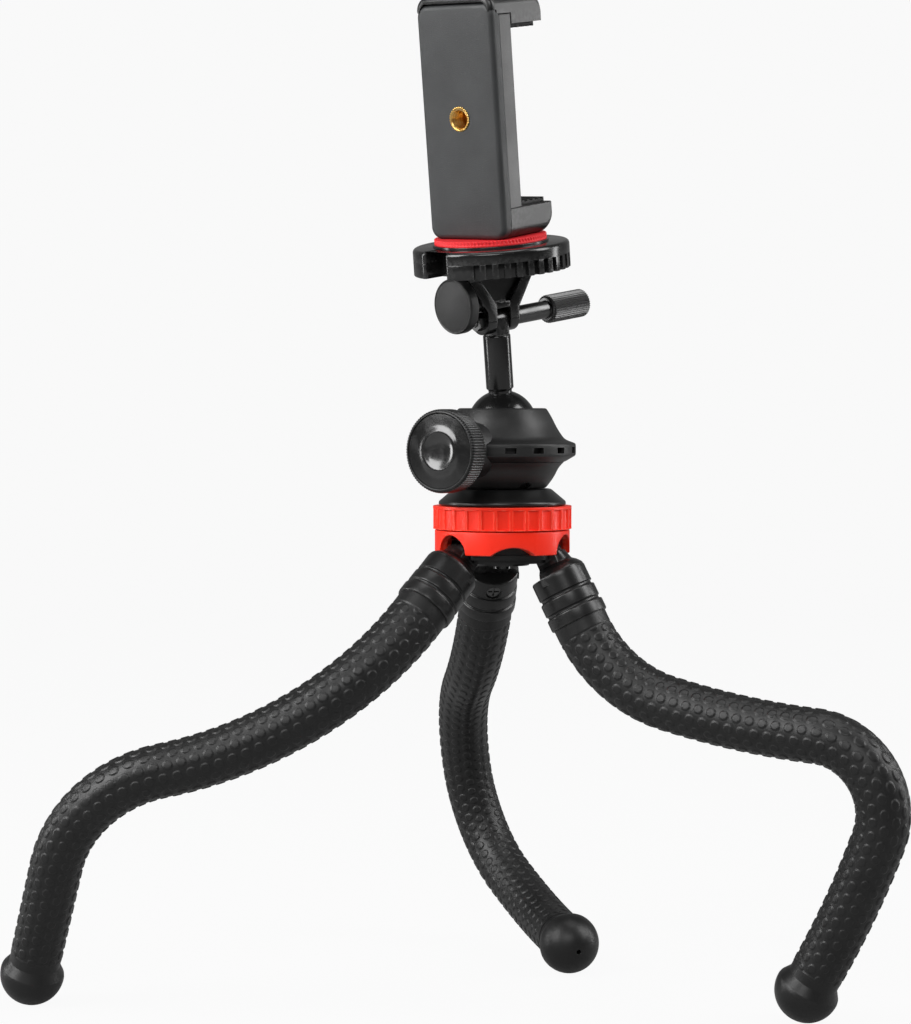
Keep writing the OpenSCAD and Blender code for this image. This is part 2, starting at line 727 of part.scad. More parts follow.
module hub() {
    flange = pivot_radius + flange_reach;
    lug_root = slot_inner - slot_room;
    lug_bottom = pivot_height - lug_radius;
    color(black) difference() {
        union() {
            difference() {
                union() {
                    translate([0, 0, hub_bottom]) cylinder(r = flange - flange_step, h = flange_step);
                    translate([0, 0, hub_bottom + flange_step])
                        cylinder(r = flange, h = shroud_bottom - hub_bottom - flange_step);
                    translate([0, 0, shroud_bottom - eps])
                        cylinder(r = spigot_radius, h = pan_bottom - shroud_bottom + eps);
                }
                each_leg() translate([slot_inner, -slot_half, hub_bottom - far])
                    cube([far, 2 * slot_half, slot_top - hub_bottom + far]);
            }
            each_leg() {
                translate([lug_root, -lug_half, lug_bottom])
                    cube([pivot_radius - lug_root, lug_width, slot_top - lug_bottom + eps]);
                translate([pivot_radius, 0, pivot_height]) rod_y(lug_radius, lug_width);
            }
        }
        each_leg() translate([pivot_radius, 0, pivot_height]) rod_y(pin_radius, 2 * slot_half);
        translate([0, 0, bolt_bottom]) cylinder(r = bolt_radius, h = far);
        translate([0, 0, hub_bottom - far]) cylinder(r = hub_screw_radius, h = far + hub_screw_depth);
    }
}

module hub_cover() {
    color(black) difference() {
        translate([0, 0, hub_bottom - cover_thickness])
            cylinder(r1 = cover_radius - chamfer, r2 = cover_radius, h = cover_thickness);
        translate([0, 0, hub_bottom - far]) cylinder(r = hub_screw_radius, h = 2 * far);
    }
}

module hub_screw() {
    top = hub_bottom - cover_thickness;
    color(steel) difference() {
        union() {
            translate([0, 0, top - hub_screw_cap]) cylinder(r = hub_screw_head, h = hub_screw_cap);
            translate([0, 0, top - eps])
                cylinder(r = hub_screw_radius, h = cover_thickness + hub_screw_depth - run_gap + eps);
        }
        translate([0, 0, top - hub_screw_cap]) rotate([0, -90, 0]) translate([-drive_slot, 0, 0])
            cross_slot(1.4 * hub_screw_head, 2 * drive_slot);
    }
}

module leg_pins() {
    color(steel) each_leg() translate([pivot_radius, 0, pivot_height])
        rod_y(pin_radius, 2 * ear_outer + slot_room);
}

module leg_shroud() {
    pocket = pivot_radius + ear_radius + slot_room - slot_inner;
    color(red) difference() {
        translate([0, 0, shroud_bottom]) cylinder(r = shroud_radius, h = shroud_height);
        translate([0, 0, shroud_bottom - far]) cylinder(r = spigot_radius, h = 2 * far);
        each_leg() {
            translate([0, 0, shroud_bottom - move_gap]) rod_x(arch_radius, slot_inner, far);
            translate([slot_inner, -slot_half, hub_bottom])
                cube([pocket, 2 * slot_half, slot_top - hub_bottom]);
            rotate([0, 0, leg_step / 2]) translate([0, 0, shroud_bottom + scallop_depth - scallop_radius])
                rod_x(scallop_radius, slot_inner, far);
        }
    }
}

module lock_ring() {
    color(red) translate([0, 0, ring_bottom]) difference() {
        cylinder(r = ring_radius, h = ring_height);
        translate([0, 0, -far]) cylinder(r = spigot_radius + run_gap, h = 2 * far);
        for (k = [0:ring_flutes - 1]) rotate([0, 0, 360 * k / ring_flutes])
            translate([ring_radius + flute_radius - flute_depth, 0, -far])
                cylinder(r = flute_radius, h = 2 * far);
    }
}

module pan_base() {
    color(black) translate([0, 0, pan_bottom]) rotate_extrude() polygon([
        [bolt_radius, 0], [pan_base_radius, 0], [pan_base_radius, pan_base_edge],
        [housing_end + pan_base_ledge, pan_base_height], [bolt_radius, pan_base_height]
    ]);
}

module pan_bolt() {
    color(steel) union() {
        translate([0, 0, bolt_bottom]) cylinder(r = bolt_radius, h = bolt_seat - bolt_bottom + eps);
        translate([0, 0, bolt_seat]) cylinder(r = bolt_head, h = bolt_cap, $fn = 6);
    }
}

// Lower half of the ball housing, with an upstand inside that carries the cup
module housing_lower() {
    top = housing_split - cup_gap;
    floor_top = housing_bottom + housing_floor;
    color(black) difference() {
        rotate_extrude() polygon([
            [bolt_radius + run_gap, housing_bottom], [housing_end, housing_bottom],
            [housing_end + flank[0], housing_bottom + flank[1]], [housing_end + split_out, top],
            [upstand_radius, top], [upstand_radius, seat_level], [well_radius, seat_level],
            [well_radius, floor_top], [bolt_radius + run_gap, floor_top]
        ]);
        each_housing_screw() {
            translate([0, 0, -far]) cylinder(r = housing_screw_radius + run_gap, h = 2 * far);
            translate([0, 0, -far - screw_ledge]) cylinder(r = housing_screw_head + run_gap, h = far);
        }
        rotate([0, 0, lock_knob_azimuth + pan_mark_turn]) translate([0, 0, housing_bottom])
            rod_x(pan_mark_radius, well_radius + pan_mark_radius, far);
        knob_frame() rod_x(knob_boss + cup_gap, upstand_radius, far);
    }
}

// Upper half of the ball housing: rim with windows, boss for the lock screw, mouth round the ball
module housing_upper() {
    top_edge = rim_level + rim_height / 2;
    low_edge = rim_level - rim_height / 2;
    cavity_top = ball_height - cup_edge + move_gap;
    color(black) difference() {
        union() {
            rotate_extrude() polygon([
                [0, housing_split], [housing_end + split_out + move_gap, housing_split],
                [rim_radius - chamfer, low_edge - chamfer / 2], [rim_radius, low_edge],
                [rim_radius, top_edge], [rim_radius - chamfer, top_edge + chamfer / 2],
                [housing_end + shoulder[0], rim_level + shoulder[1]],
                [housing_end + neck[0], rim_level + neck[1]],
                [housing_end + chamfer, housing_top - chamfer], [housing_end, housing_top], [0, housing_top]
            ]);
            knob_frame() rod_x(knob_boss, housing_end, rim_radius + boss_reach);
        }
        translate([0, 0, ball_height]) sphere(ball_radius + cup_gap);
        translate([0, 0, cavity_top - far]) cylinder(r = cavity_radius, h = far);
        knob_frame() rod_x(bolt_radius + run_gap, 0, far);
        for (k = [2:rim_windows - 1]) rotate([0, 0, lock_knob_azimuth + window_turn + 360 * k / rim_windows])
            translate([rim_radius - window_depth, -window_width / 2, rim_level - window_height / 2])
                cube([far, window_width, window_height]);
        each_housing_screw() translate([0, 0, screw_reach - far]) cylinder(r = housing_screw_radius, h = far);
    }
}

module housing_screws() {
    color(steel) each_housing_screw() {
        translate([0, 0, -screw_ledge - eps])
            cylinder(r = housing_screw_radius, h = screw_ledge + screw_reach - run_gap + eps);
        translate([0, 0, -screw_ledge - housing_screw_radius])
            cylinder(r = housing_screw_head, h = housing_screw_radius);
    }
}

// Plastic cup under the ball, pressed by the lock screw
module ball_cup() {
    depth = ball_radius - cup_floor;
    color(grey) translate([0, 0, ball_height]) rotate_extrude() intersection() {
        difference() {
            circle(cup_outer);
            circle(ball_radius + cup_gap);
        }
        translate([0, -depth]) square([far, depth - cup_edge]);
    }
}

module ball_stem() {
    color(black) head_frame() difference() {
        union() {
            sphere(ball_radius);
            cylinder(r = stem_radius, h = stem_top);
            translate([-tongue_half, -tongue_radius, stem_top - chamfer])
                cube([tongue_width, 2 * tongue_radius, hinge_reach - stem_top + chamfer]);
            translate([0, 0, hinge_reach]) rod_x(tongue_radius, -tongue_half, tongue_half);
        }
        translate([0, 0, hinge_reach]) rod_x(hinge_bolt + run_gap, -far, far);
    }
}

// Distance of the back and the front of the lock knob from the tripod axis
knob_back = rim_radius + boss_reach + move_gap;
knob_rim_back = knob_back + knob_neck;
knob_front = knob_rim_back + lock_knob_length;
cap_seat = knob_front - cap_recess;
cap_radius = lock_knob_radius - cap_border;
screw_hidden = 2;

module lock_knob() {
    color(black) knob_frame() difference() {
        turned_x([
            [knob_back, 0], [knob_back, knob_boss], [knob_rim_back, knob_boss],
            [knob_rim_back, lock_knob_radius - chamfer], [knob_rim_back + chamfer, lock_knob_radius],
            [knob_front - chamfer, lock_knob_radius], [knob_front, lock_knob_radius - chamfer],
            [knob_front, cap_radius], [cap_seat, cap_radius], [cap_seat, 0]
        ]);
        rod_x(bolt_radius, 0, cap_seat - screw_hidden);
    }
}

// Domed cap of the lock knob, with a raised ring round its plain middle
module lock_knob_cap() {
    edge = cap_radius - run_gap;
    ring_half = 0.3;
    color(black) knob_frame() turned_x([
        [cap_seat, 0], [cap_seat, edge], [knob_front, edge - chamfer / 3],
        [knob_front + chamfer / 3, cap_ring + chamfer], [knob_front + chamfer, cap_ring + ring_half],
        [knob_front + chamfer, cap_ring - ring_half], [knob_front + chamfer / 3, cap_ring - chamfer],
        [knob_front + chamfer, 0]
    ]);
}

// Lock screw: fixed in the knob, its plain point next to the cup
module lock_screw() {
    drop = ball_height - rim_level - point_radius;
    point = sqrt(cup_outer * cup_outer - drop * drop) + cup_gap;
    shoulder_at = cavity_radius + move_gap;
    color(steel) knob_frame() turned_x([
        [point, 0], [point, point_radius], [shoulder_at, point_radius], [shoulder_at + chamfer, bolt_radius],
        [cap_seat - screw_hidden, bolt_radius], [cap_seat - screw_hidden, 0]
    ]);
}

// V-shaped yoke: two ears on the tilt hinge that spread up to the platform, hollow between its ribs
module yoke() {
    ear_top = hinge_reach + max(shank_radius, nut_radius) + move_gap;
    hollow_low = hinge_reach + tongue_slot + chamfer;
    hollow_top = yoke_top - yoke_lip;
    hollow_depth = 1.5;
    color(black) head_frame() difference() {
        union() {
            intersection() {
                across([
                    [-yoke_spread, yoke_top], [-yoke_spread, hollow_top], [-ear_half, ear_top],
                    [-ear_half, stem_top], [ear_half, stem_top], [ear_half, ear_top],
                    [yoke_spread, hollow_top], [yoke_spread, yoke_top]
                ], yoke_depth);
                union() {
                    translate([0, 0, hinge_reach]) rod_x(yoke_half - run_gap, -far, far);
                    translate([-far, -yoke_half, hinge_reach]) cube([2 * far, yoke_depth, far]);
                }
            }
            translate([0, 0, knob_level]) rod_x(plate_boss, ear_half, boss_end);
        }
        translate([-tongue_half - cup_gap, -far, 0])
            cube([tongue_width + 2 * cup_gap, 2 * far, hinge_reach + tongue_slot]);
        for (s = [-1, 1]) translate([0, s * (yoke_half + far / 2 - hollow_depth), 0]) across([
            [-tongue_half + chamfer, hollow_low], [tongue_half - chamfer, hollow_low],
            [ear_half, hollow_top], [-ear_half, hollow_top]
        ], far);
        translate([0, 0, hinge_reach]) rod_x(hinge_bolt + run_gap, -far, far);
        translate([0, 0, hinge_reach]) cylinder(r = plate_pin + run_gap, h = far);
        translate([0, 0, knob_level]) rod_x(plate_knob_stem + run_gap, 0, far);
    }
}

module thumbscrew() {
    collar_at = ear_half + move_gap;
    grip = collar_at + shank_length;
    end = ear_half + nut_height + move_gap;
    color(steel) head_frame() translate([0, 0, hinge_reach]) mirror([1, 0, 0]) turned_x([
        [-end, 0], [-end, hinge_bolt], [collar_at, hinge_bolt], [collar_at, shank_radius],
        [grip, shank_radius], [grip + chamfer, grip_radius - chamfer], [grip + 2 * chamfer, grip_radius],
        [grip + grip_length - chamfer, grip_radius], [grip + grip_length, grip_radius - chamfer],
        [grip + grip_length, 0]
    ]);
}

module thumbscrew_nut() {
    color(steel) head_frame() translate([0, 0, hinge_reach]) difference() {
        translate([ear_half, 0, 0]) rotate([0, 90, 0]) cylinder(r = nut_radius, h = nut_height, $fn = 6);
        rod_x(hinge_bolt + run_gap, 0, far);
    }
}

// Knob whose point runs in the groove of the platform pin
module plate_knob() {
    start = plate_groove + 4 * run_gap;
    under = boss_end + move_gap;
    back = yoke_spread + move_gap;
    front = back + plate_knob_length;
    color(black) head_frame() translate([0, 0, knob_level]) turned_x([
        [start, 0], [start, knob_point], [plate_pin + chamfer, plate_knob_stem - chamfer],
        [plate_pin + 2 * chamfer, plate_knob_stem], [under, plate_knob_stem], [under, plate_boss],
        [back, plate_boss], [back, plate_knob_radius - chamfer], [back + chamfer, plate_knob_radius],
        [front - 3 * chamfer, plate_knob_radius], [front - chamfer, plate_knob_radius - chamfer],
        [front, plate_knob_radius / 2], [front, 0]
    ]);
}

module platform() {
    rim_edge = platform_radius - chamfer;
    color(black) head_frame() difference() {
        union() {
            rotate_extrude() polygon([
                [0, platform_bottom], [rim_edge, platform_bottom],
                [platform_radius, platform_bottom + chamfer], [platform_radius, platform_top - chamfer],
                [rim_edge, platform_top], [pad_radius + chamfer, platform_top],
                [pad_radius + chamfer, pad_bottom], [0, pad_bottom]
            ]);
            translate([0, 0, pin_end]) cylinder(r = plate_pin, h = platform_bottom - pin_end + eps);
        }
        for (k = [plain_slots:rim_slots - plain_slots]) rotate([0, 0, 360 * k / rim_slots])
            translate([platform_radius - slot_depth, -slot_width / 2, platform_bottom - far])
                cube([far, slot_width, slot_height + far]);
        translate([platform_radius - notch_depth, -notch_width / 2, platform_bottom - far])
            cube([far, notch_width, 2 * far]);
        translate([0, 0, pad_bottom - stud_cap]) cylinder(r = stud_head, h = far);
        translate([0, 0, knob_level - groove_half]) difference() {
            cylinder(r = plate_pin + chamfer, h = 2 * groove_half);
            translate([0, 0, -far]) cylinder(r = plate_groove, h = 2 * far);
        }
    }
}

module platform_pad() {
    color(red) head_frame() translate([0, 0, pad_bottom]) difference() {
        cylinder(r = pad_radius, h = pad_thickness);
        translate([0, 0, -far]) cylinder(r = stud_radius + run_gap, h = 2 * far);
    }
}

module camera_screw() {
    color(steel) head_frame() union() {
        translate([0, 0, pad_bottom - stud_cap]) cylinder(r = stud_head, h = stud_cap);
        translate([0, 0, pad_bottom - eps]) cylinder(r = stud_radius, h = pad_thickness + stud_length + eps);
    }
}

// Clamp outline seen from behind with room round it, as a block from a distance along x
module clamp_outline(bottom, top, room = 0, from = -far) {
    translate([from, 0, (bottom + top) / 2]) rotate([0, 90, 0]) linear_extrude(2 * far)
        polygon(round_rect(top - bottom + 2 * room, clamp_width + 2 * room, clamp_corner + room));
}

module clamp_body() {
    color(grey) clamp_frame() difference() {
        intersection() {
            across(concat(
                [[seam, 0], [seam, body_top], [slab_front, body_top], [slab_front, lower_jaw]],
                [[jaw_tip, lower_jaw]],
                quarter([jaw_tip + jaw_round, jaw_round], jaw_round, 180, 270)
            ), clamp_width);
            clamp_outline(0, body_top + clamp_corner);
        }
        translate([cavity_front, -cavity_half, lower_jaw]) cube([far, 2 * cavity_half, 2 * far]);
        translate([0, 0, -far]) cylinder(r = insert_radius, h = insert_hole + far);
        for (z = screw_levels) translate([0, 0, z]) {
            rod_x(clamp_screw_radius + run_gap, slab_front - far, far);
            rod_x(clamp_screw_head + run_gap, slab_front - far, slab_front + clamp_screw_cap);
        }
    }
}

// Back cover: a tray whose lip meets the body along the sides, with bosses for the screws
module clamp_cover() {
    edge = clamp_width / 2 - back_round;
    color(grey) clamp_frame() difference() {
        union() {
            difference() {
                intersection() {
                    clamp_outline(0, cover_top);
                    linear_extrude(2 * far) polygon(concat(
                        [[seam, clamp_width / 2], [seam, -clamp_width / 2]],
                        quarter([clamp_back - back_round, -edge], back_round, -90, 0),
                        quarter([clamp_back - back_round, edge], back_round, 0, 90)
                    ));
                }
                translate([cover_front - far, -cavity_half, lower_jaw]) cube([far, 2 * cavity_half, 2 * far]);
                translate([cover_front - far, -far, body_top]) cube([far, 2 * far, far]);
            }
            for (z = screw_levels) translate([0, 0, z])
                rod_x(clamp_screw_radius + boss_wall, cavity_front, cover_front + chamfer);
        }
        translate([0, 0, insert_level]) rod_x(insert_radius, 0, far);
        for (z = screw_levels) translate([0, 0, z])
            rod_x(clamp_screw_radius, 0, clamp_back - cover_depth / 2);
    }
}

// Sliding upper jaw: hooked cap arched over the cover, two rails in the body and an ear above each spring
module clamp_jaw() {
    bottom = body_top + move_gap;
    lip = slab_front - move_gap;
    ear_end = cavity_half - run_gap;
    rear_round = back_round / 2;
    color(grey) clamp_frame() union() {
        difference() {
            intersection() {
                across(concat(
                    [[clamp_back, bottom]],
                    quarter([clamp_back - rear_round, clamp_height - rear_round], rear_round, 0, 90),
                    quarter([jaw_tip + jaw_round, clamp_height - jaw_round], jaw_round, 90, 180),
                    [[jaw_tip, jaw_under], [lip, jaw_under], [lip, bottom]]
                ), clamp_width);
                clamp_outline(jaw_under - clamp_corner, clamp_height);
            }
            clamp_outline(0, cover_top, move_gap, cover_front - move_gap);
        }
        for (s = [-1, 1]) {
            translate([spring_x - rail_depth / 2, s > 0 ? rail_inner : -rail_outer, rail_end])
                cube([rail_depth, rail_width, bottom + chamfer - rail_end]);
            translate([spring_x - spring_coil, s > 0 ? rail_outer - eps : -ear_end, spring_top])
                cube([2 * spring_coil, ear_end - rail_outer + eps, spring_ear]);
        }
    }
}

// Ribbed rubber pad lying on a jaw, its ribs across the jaw
module jaw_pad_shape() {
    start = jaw_tip + chamfer;
    length = slab_front - chamfer - start;
    width = clamp_width - 2 * pad_margin;
    translate([start, -width / 2, 0]) cube([length, width, jaw_pad - rib_height]);
    rib_pitch = (length - rib_width) / (pad_ribs - 1);
    for (k = [0:pad_ribs - 1])
        translate([start + k * rib_pitch, -width / 2, 0]) cube([rib_width, width, jaw_pad]);
}

module clamp_lower_pad() {
    color(rubber) clamp_frame() translate([0, 0, lower_jaw]) jaw_pad_shape();
}

module clamp_upper_pad() {
    color(rubber) clamp_frame() translate([0, 0, jaw_under]) mirror([0, 0, 1]) jaw_pad_shape();
}

// Coil of the clamp, its ends on the lower jaw and the ear of the sliding jaw
module coil() {
    steps = spring_turns * 8;
    sides = 5;
    low = spring_base + spring_wire;
    rise = spring_top - spring_base - 2 * spring_wire;
    points = [for (k = [0:steps]) for (s = [0:sides - 1])
        let (t = 360 * k * spring_turns / steps, r = spring_coil + spring_wire * cos(360 * s / sides))
        [r * cos(t), r * sin(t), low + rise * k / steps + spring_wire * sin(360 * s / sides)]];
    side = [for (k = [0:steps - 1]) for (s = [0:sides - 1])
        let (t = (s + 1) % sides, a = k * sides, b = a + sides)
        each [[a + s, a + t, b + t], [a + s, b + t, b + s]]];
    cap_low = [for (s = [sides - 1:-1:0]) s];
    cap_high = [for (s = [0:sides - 1]) steps * sides + s];
    polyhedron(points, concat([cap_low], side, [cap_high]));
}

module clamp_springs() {
    color(steel) clamp_frame() for (s = [-1, 1]) translate([spring_x, s * spring_y, 0]) coil();
}

module clamp_back_insert() {
    color(brass) clamp_frame() translate([0, 0, insert_level]) difference() {
        rod_x(insert_radius, clamp_back - insert_depth, clamp_back + insert_proud);
        rod_x(thread_radius, 0, far);
    }
}

module clamp_base_insert() {
    color(brass) clamp_frame() difference() {
        cylinder(r = insert_radius, h = insert_hole);
        translate([0, 0, -far]) cylinder(r = thread_radius, h = 2 * far);
    }
}

module clamp_screws() {
    seat = slab_front + clamp_screw_cap;
    color(steel) clamp_frame() for (z = screw_levels) translate([0, 0, z]) difference() {
        union() {
            rod_x(clamp_screw_head, slab_front, seat);
            rod_x(clamp_screw_radius, seat - eps, clamp_back - cover_depth / 2 - run_gap);
        }
        translate([slab_front - drive_slot, 0, 0]) cross_slot(1.4 * clamp_screw_head, 2 * drive_slot);
    }
}

module right_collar() collar(right_arcs, 0);
module right_screw() collar_screw(right_arcs, 0);
module right_sleeve() sleeve(right_arcs, 0);
module right_core_1() core(right_arcs, 0, 0);
module right_core_2() core(right_arcs, 0, 1);
module right_core_3() core(right_arcs, 0, 2);
module right_core_4() core(right_arcs, 0, 3);
module right_foot() foot(right_arcs, 0);
module rear_collar() collar(rear_arcs, 1);
module rear_screw() collar_screw(rear_arcs, 1);
module rear_sleeve() sleeve(rear_arcs, 1);
module rear_core_1() core(rear_arcs, 1, 0);
module rear_core_2() core(rear_arcs, 1, 1);
module rear_core_3() core(rear_arcs, 1, 2);
module rear_core_4() core(rear_arcs, 1, 3);
module rear_foot() foot(rear_arcs, 1);
module left_collar() collar(left_arcs, 2);
module left_screw() collar_screw(left_arcs, 2);
module left_sleeve() sleeve(left_arcs, 2);
module left_core_1() core(left_arcs, 2, 0);
module left_core_2() core(left_arcs, 2, 1);
module left_core_3() core(left_arcs, 2, 2);
module left_core_4() core(left_arcs, 2, 3);
module left_foot() foot(left_arcs, 2);

hub();
hub_cover();
hub_screw();
leg_pins();
leg_shroud();
lock_ring();
pan_base();
pan_bolt();
housing_lower();
housing_upper();
housing_screws();
ball_cup();
ball_stem();
lock_knob();
lock_knob_cap();
lock_screw();
yoke();
thumbscrew();
thumbscrew_nut();
plate_knob();
platform();
platform_pad();
camera_screw();
clamp_body();
clamp_cover();
clamp_jaw();
clamp_lower_pad();
clamp_upper_pad();
clamp_springs();
clamp_back_insert();
clamp_base_insert();
clamp_screws();
right_collar();
right_screw();
right_sleeve();
right_core_1();
right_core_2();
right_core_3();
right_core_4();
right_foot();
rear_collar();
rear_screw();
rear_sleeve();
rear_core_1();
rear_core_2();
rear_core_3();
rear_core_4();
rear_foot();
left_collar();
left_screw();
left_sleeve();
left_core_1();
left_core_2();
left_core_3();
left_core_4();
left_foot();
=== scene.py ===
"""Flexible leg tripod with a ball head and a phone clamp: the finish and form of every piece, in metres."""
import math

import bmesh
import bpy
import numpy as np
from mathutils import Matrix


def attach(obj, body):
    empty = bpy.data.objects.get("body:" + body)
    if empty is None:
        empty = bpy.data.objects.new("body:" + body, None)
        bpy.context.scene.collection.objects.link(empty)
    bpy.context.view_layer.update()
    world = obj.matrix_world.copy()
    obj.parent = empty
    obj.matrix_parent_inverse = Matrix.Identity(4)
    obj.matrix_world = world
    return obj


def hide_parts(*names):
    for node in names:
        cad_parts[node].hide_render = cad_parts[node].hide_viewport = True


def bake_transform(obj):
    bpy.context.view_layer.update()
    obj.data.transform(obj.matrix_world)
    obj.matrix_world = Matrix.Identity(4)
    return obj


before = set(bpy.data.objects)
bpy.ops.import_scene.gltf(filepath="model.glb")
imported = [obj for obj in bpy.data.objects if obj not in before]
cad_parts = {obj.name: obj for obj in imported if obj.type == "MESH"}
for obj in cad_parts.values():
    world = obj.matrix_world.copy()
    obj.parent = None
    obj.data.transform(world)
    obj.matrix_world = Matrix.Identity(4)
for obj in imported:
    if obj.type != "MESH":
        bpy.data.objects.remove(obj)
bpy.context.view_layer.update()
scene = bpy.context.scene

MM = 0.001
TURN = 2 * math.pi

# Legs, in millimetres
PIVOT_HEIGHT = 149.0
PIVOT_RADIUS = 16.0
LEG_AZIMUTH = -21.0
LEG_LENGTH = 220.0
COLLAR_LENGTH = 25.0
SLEEVE_LEAD = 2.0
FOOT_REACH = 11.0
FOOT_RADIUS = 10.5
SLEEVE_LENGTH = LEG_LENGTH - COLLAR_LENGTH - FOOT_REACH
SLEEVE_TOP = 9.1
SLEEVE_END = 8.4
# Lengths of the first three bends of each leg, then the angles and the directions of all four
LEGS = {
    "right": ((40, 52, 44), (50, 10, 108, 8), (10, 5, 190, 180)),
    "rear": ((46, 46, 46), (23, 47, 72, 26), (-2, 165, 159, 176)),
    "left": ((50, 50, 52), (30, 20, 65, 0), (75, 35, 183, 0)),
}
LEG_NAMES = list(LEGS)

# Sleeves: buttons in two staggered lattices, a plain band at the collar and the part drawn over the foot
BUTTON_PITCH = 4.5
BUTTONS_ROUND = 7
BUTTON_RADIUS = 1.6
BUTTON_FLANK = 0.26
BUTTON_HEIGHT = 0.28
BUTTON_SINK = 0.13
CELLS_ALONG = 17
CELLS_ROUND = 32
PLAIN_BAND = 4.6
PLAIN_END = 0.8
SLEEVE_OVER = 3.8

# Head, in millimetres: heights above the floor up to the ball, and from the ball's middle past it
SPIGOT_RADIUS = 18.0
SHROUD_RADIUS = 22.5
SHROUD_BOTTOM = 148.7
SHROUD_TOP = 156.5
RING_RADIUS = 23.1
RING_BOTTOM = 156.8
RING_TOP = 164.5
PAN_BOTTOM = 164.8
PAN_TOP = 170.1
HOUSING_BOTTOM = 170.4
HOUSING_SPLIT = 179.2
RIM_LEVEL = 183.1
RIM_RADIUS = 24.5
HOUSING_TOP = 196.9
BALL_HEIGHT = 191.4
BALL_RADIUS = 11.6
LOCK_KNOB_AZIMUTH = 235.0
KNOB_BACK = 26.8
KNOB_FRONT = 36.5
HEAD_LEAN = 10.2
LEAN_AZIMUTH = 248.0
HEAD_AZIMUTH = 222.0
HINGE_REACH = 35.5
KNOB_LEVEL = 42.1
YOKE_TOP = 51.5
PLATFORM_BOTTOM = 51.8
PLATFORM_TOP = 60.6
PLATFORM_RADIUS = 25.8
PAD_BOTTOM = 61.4
PAD_TOP = 63.2
PAD_RADIUS = 18.5

# Phone clamp, in millimetres: depths from its middle to the back, and heights above the pad
CLAMP_AZIMUTH = 231.0
CLAMP_HALF = 15.5
CLAMP_HEIGHT = 78.0
CLAMP_BACK = 12.0
CLAMP_SEAM = 8.0
COVER_FRONT = 9.4
COVER_TOP = 75.5
CLAMP_CORNER = 4.0
SLAB_FRONT = 2.0
JAW_TIP = -14.0
BODY_TOP = 71.5
JAW_UNDER = 68.3
JAW_GAP = 0.3
LOWER_JAW = 10.0
INSERT_LEVEL = 39.0
INSERT_RADIUS = 4.1


# Places
def shift(x, y, z):
    """Matrix that moves a point by x, y and z."""
    matrix = np.eye(4)
    matrix[:3, 3] = x, y, z
    return matrix


def spin(degrees):
    """Matrix that turns a point about the z axis."""
    c, s = math.cos(math.radians(degrees)), math.sin(math.radians(degrees))
    return np.array(((c, -s, 0, 0), (s, c, 0, 0), (0, 0, 1, 0), (0, 0, 0, 1.0)))


def lean(degrees):
    """Matrix that turns a point about the y axis, from z towards x."""
    c, s = math.cos(math.radians(degrees)), math.sin(math.radians(degrees))
    return np.array(((c, 0, s, 0), (0, 1, 0, 0), (-s, 0, c, 0), (0, 0, 0, 1.0)))


# The head has x along its tilt hinge and z along its stem, the clamp has x out of its back, and the knob
# has z along its screw
HEAD = shift(0, 0, BALL_HEIGHT) @ spin(LEAN_AZIMUTH) @ lean(HEAD_LEAN) @ spin(HEAD_AZIMUTH - LEAN_AZIMUTH)
CLAMP = HEAD @ shift(0, 0, PAD_TOP) @ spin(CLAMP_AZIMUTH - HEAD_AZIMUTH)
KNOB = shift(0, 0, RIM_LEVEL) @ spin(LOCK_KNOB_AZIMUTH) @ lean(90)
# Turns of an outline: drawn in x and z and carried along -y, or drawn in y and z and carried along x
ACROSS = np.array(((1, 0, 0, 0), (0, 0, -1, 0), (0, 1, 0, 0), (0, 0, 0, 1.0)))
ALONG = np.array(((0, 0, 1, 0), (1, 0, 0, 0), (0, 1, 0, 0), (0, 0, 0, 1.0)))


def bends_of(leg):
    """Length, angle and direction of each of the four bends of a leg."""
    lengths, angles, turns = LEGS[leg]
    last = SLEEVE_LENGTH - SLEEVE_LEAD - sum(lengths)
    return list(zip((*lengths, last), angles, turns))


def bend_frames(run, length, angle, turn):
    """Frames at distances run along one bend: an arc of a circle in a plane turned about the leg."""
    frames = np.tile(np.eye(4), (len(run), 1, 1))
    if angle == 0:
        frames[:, 2, 3] = run
        return frames
    radius = length / math.radians(angle)
    bent = run / radius
    frames[:, 0, 0] = np.cos(bent)
    frames[:, 0, 2] = np.sin(bent)
    frames[:, 2, 0] = -np.sin(bent)
    frames[:, 2, 2] = np.cos(bent)
    frames[:, 0, 3] = radius * (1 - np.cos(bent))
    frames[:, 2, 3] = radius * np.sin(bent)
    return spin(turn) @ frames @ spin(-turn)


def own_path(leg, run):
    """Frames at distances run from the collar's end, in the leg's own frame: a straight lead, then bends."""
    frames = np.tile(np.eye(4), (len(run), 1, 1))
    frames[:, 2, 3] = run
    start = shift(0, 0, SLEEVE_LEAD)
    passed = SLEEVE_LEAD
    for length, angle, turn in bends_of(leg):
        beyond = run >= passed
        frames[beyond] = start @ bend_frames(run[beyond] - passed, length, angle, turn)
        start = start @ bend_frames(np.array([float(length)]), length, angle, turn)[0]
        passed += length
    return shift(0, 0, COLLAR_LENGTH) @ frames


def leg_place(leg):
    """Frame of a leg's hinge, z along the collar and x outwards, tilted so that the foot meets the floor."""
    tip = own_path(leg, np.array([SLEEVE_LENGTH]))[0] @ (0, 0, FOOT_REACH, 1)
    drop = (PIVOT_HEIGHT - FOOT_RADIUS) / math.hypot(tip[0], tip[2])
    tilt = math.atan2(-tip[0], tip[2]) + math.acos(drop)
    azimuth = LEG_AZIMUTH + 360 / len(LEGS) * LEG_NAMES.index(leg)
    pivot = spin(azimuth) @ shift(PIVOT_RADIUS, 0, PIVOT_HEIGHT)
    return pivot @ lean(180 - math.degrees(tilt)) @ spin(180)


def leg_path(leg, run):
    """Frames at distances run from the collar's end, in the tripod's frame."""
    return leg_place(leg) @ own_path(leg, np.asarray(run, float))


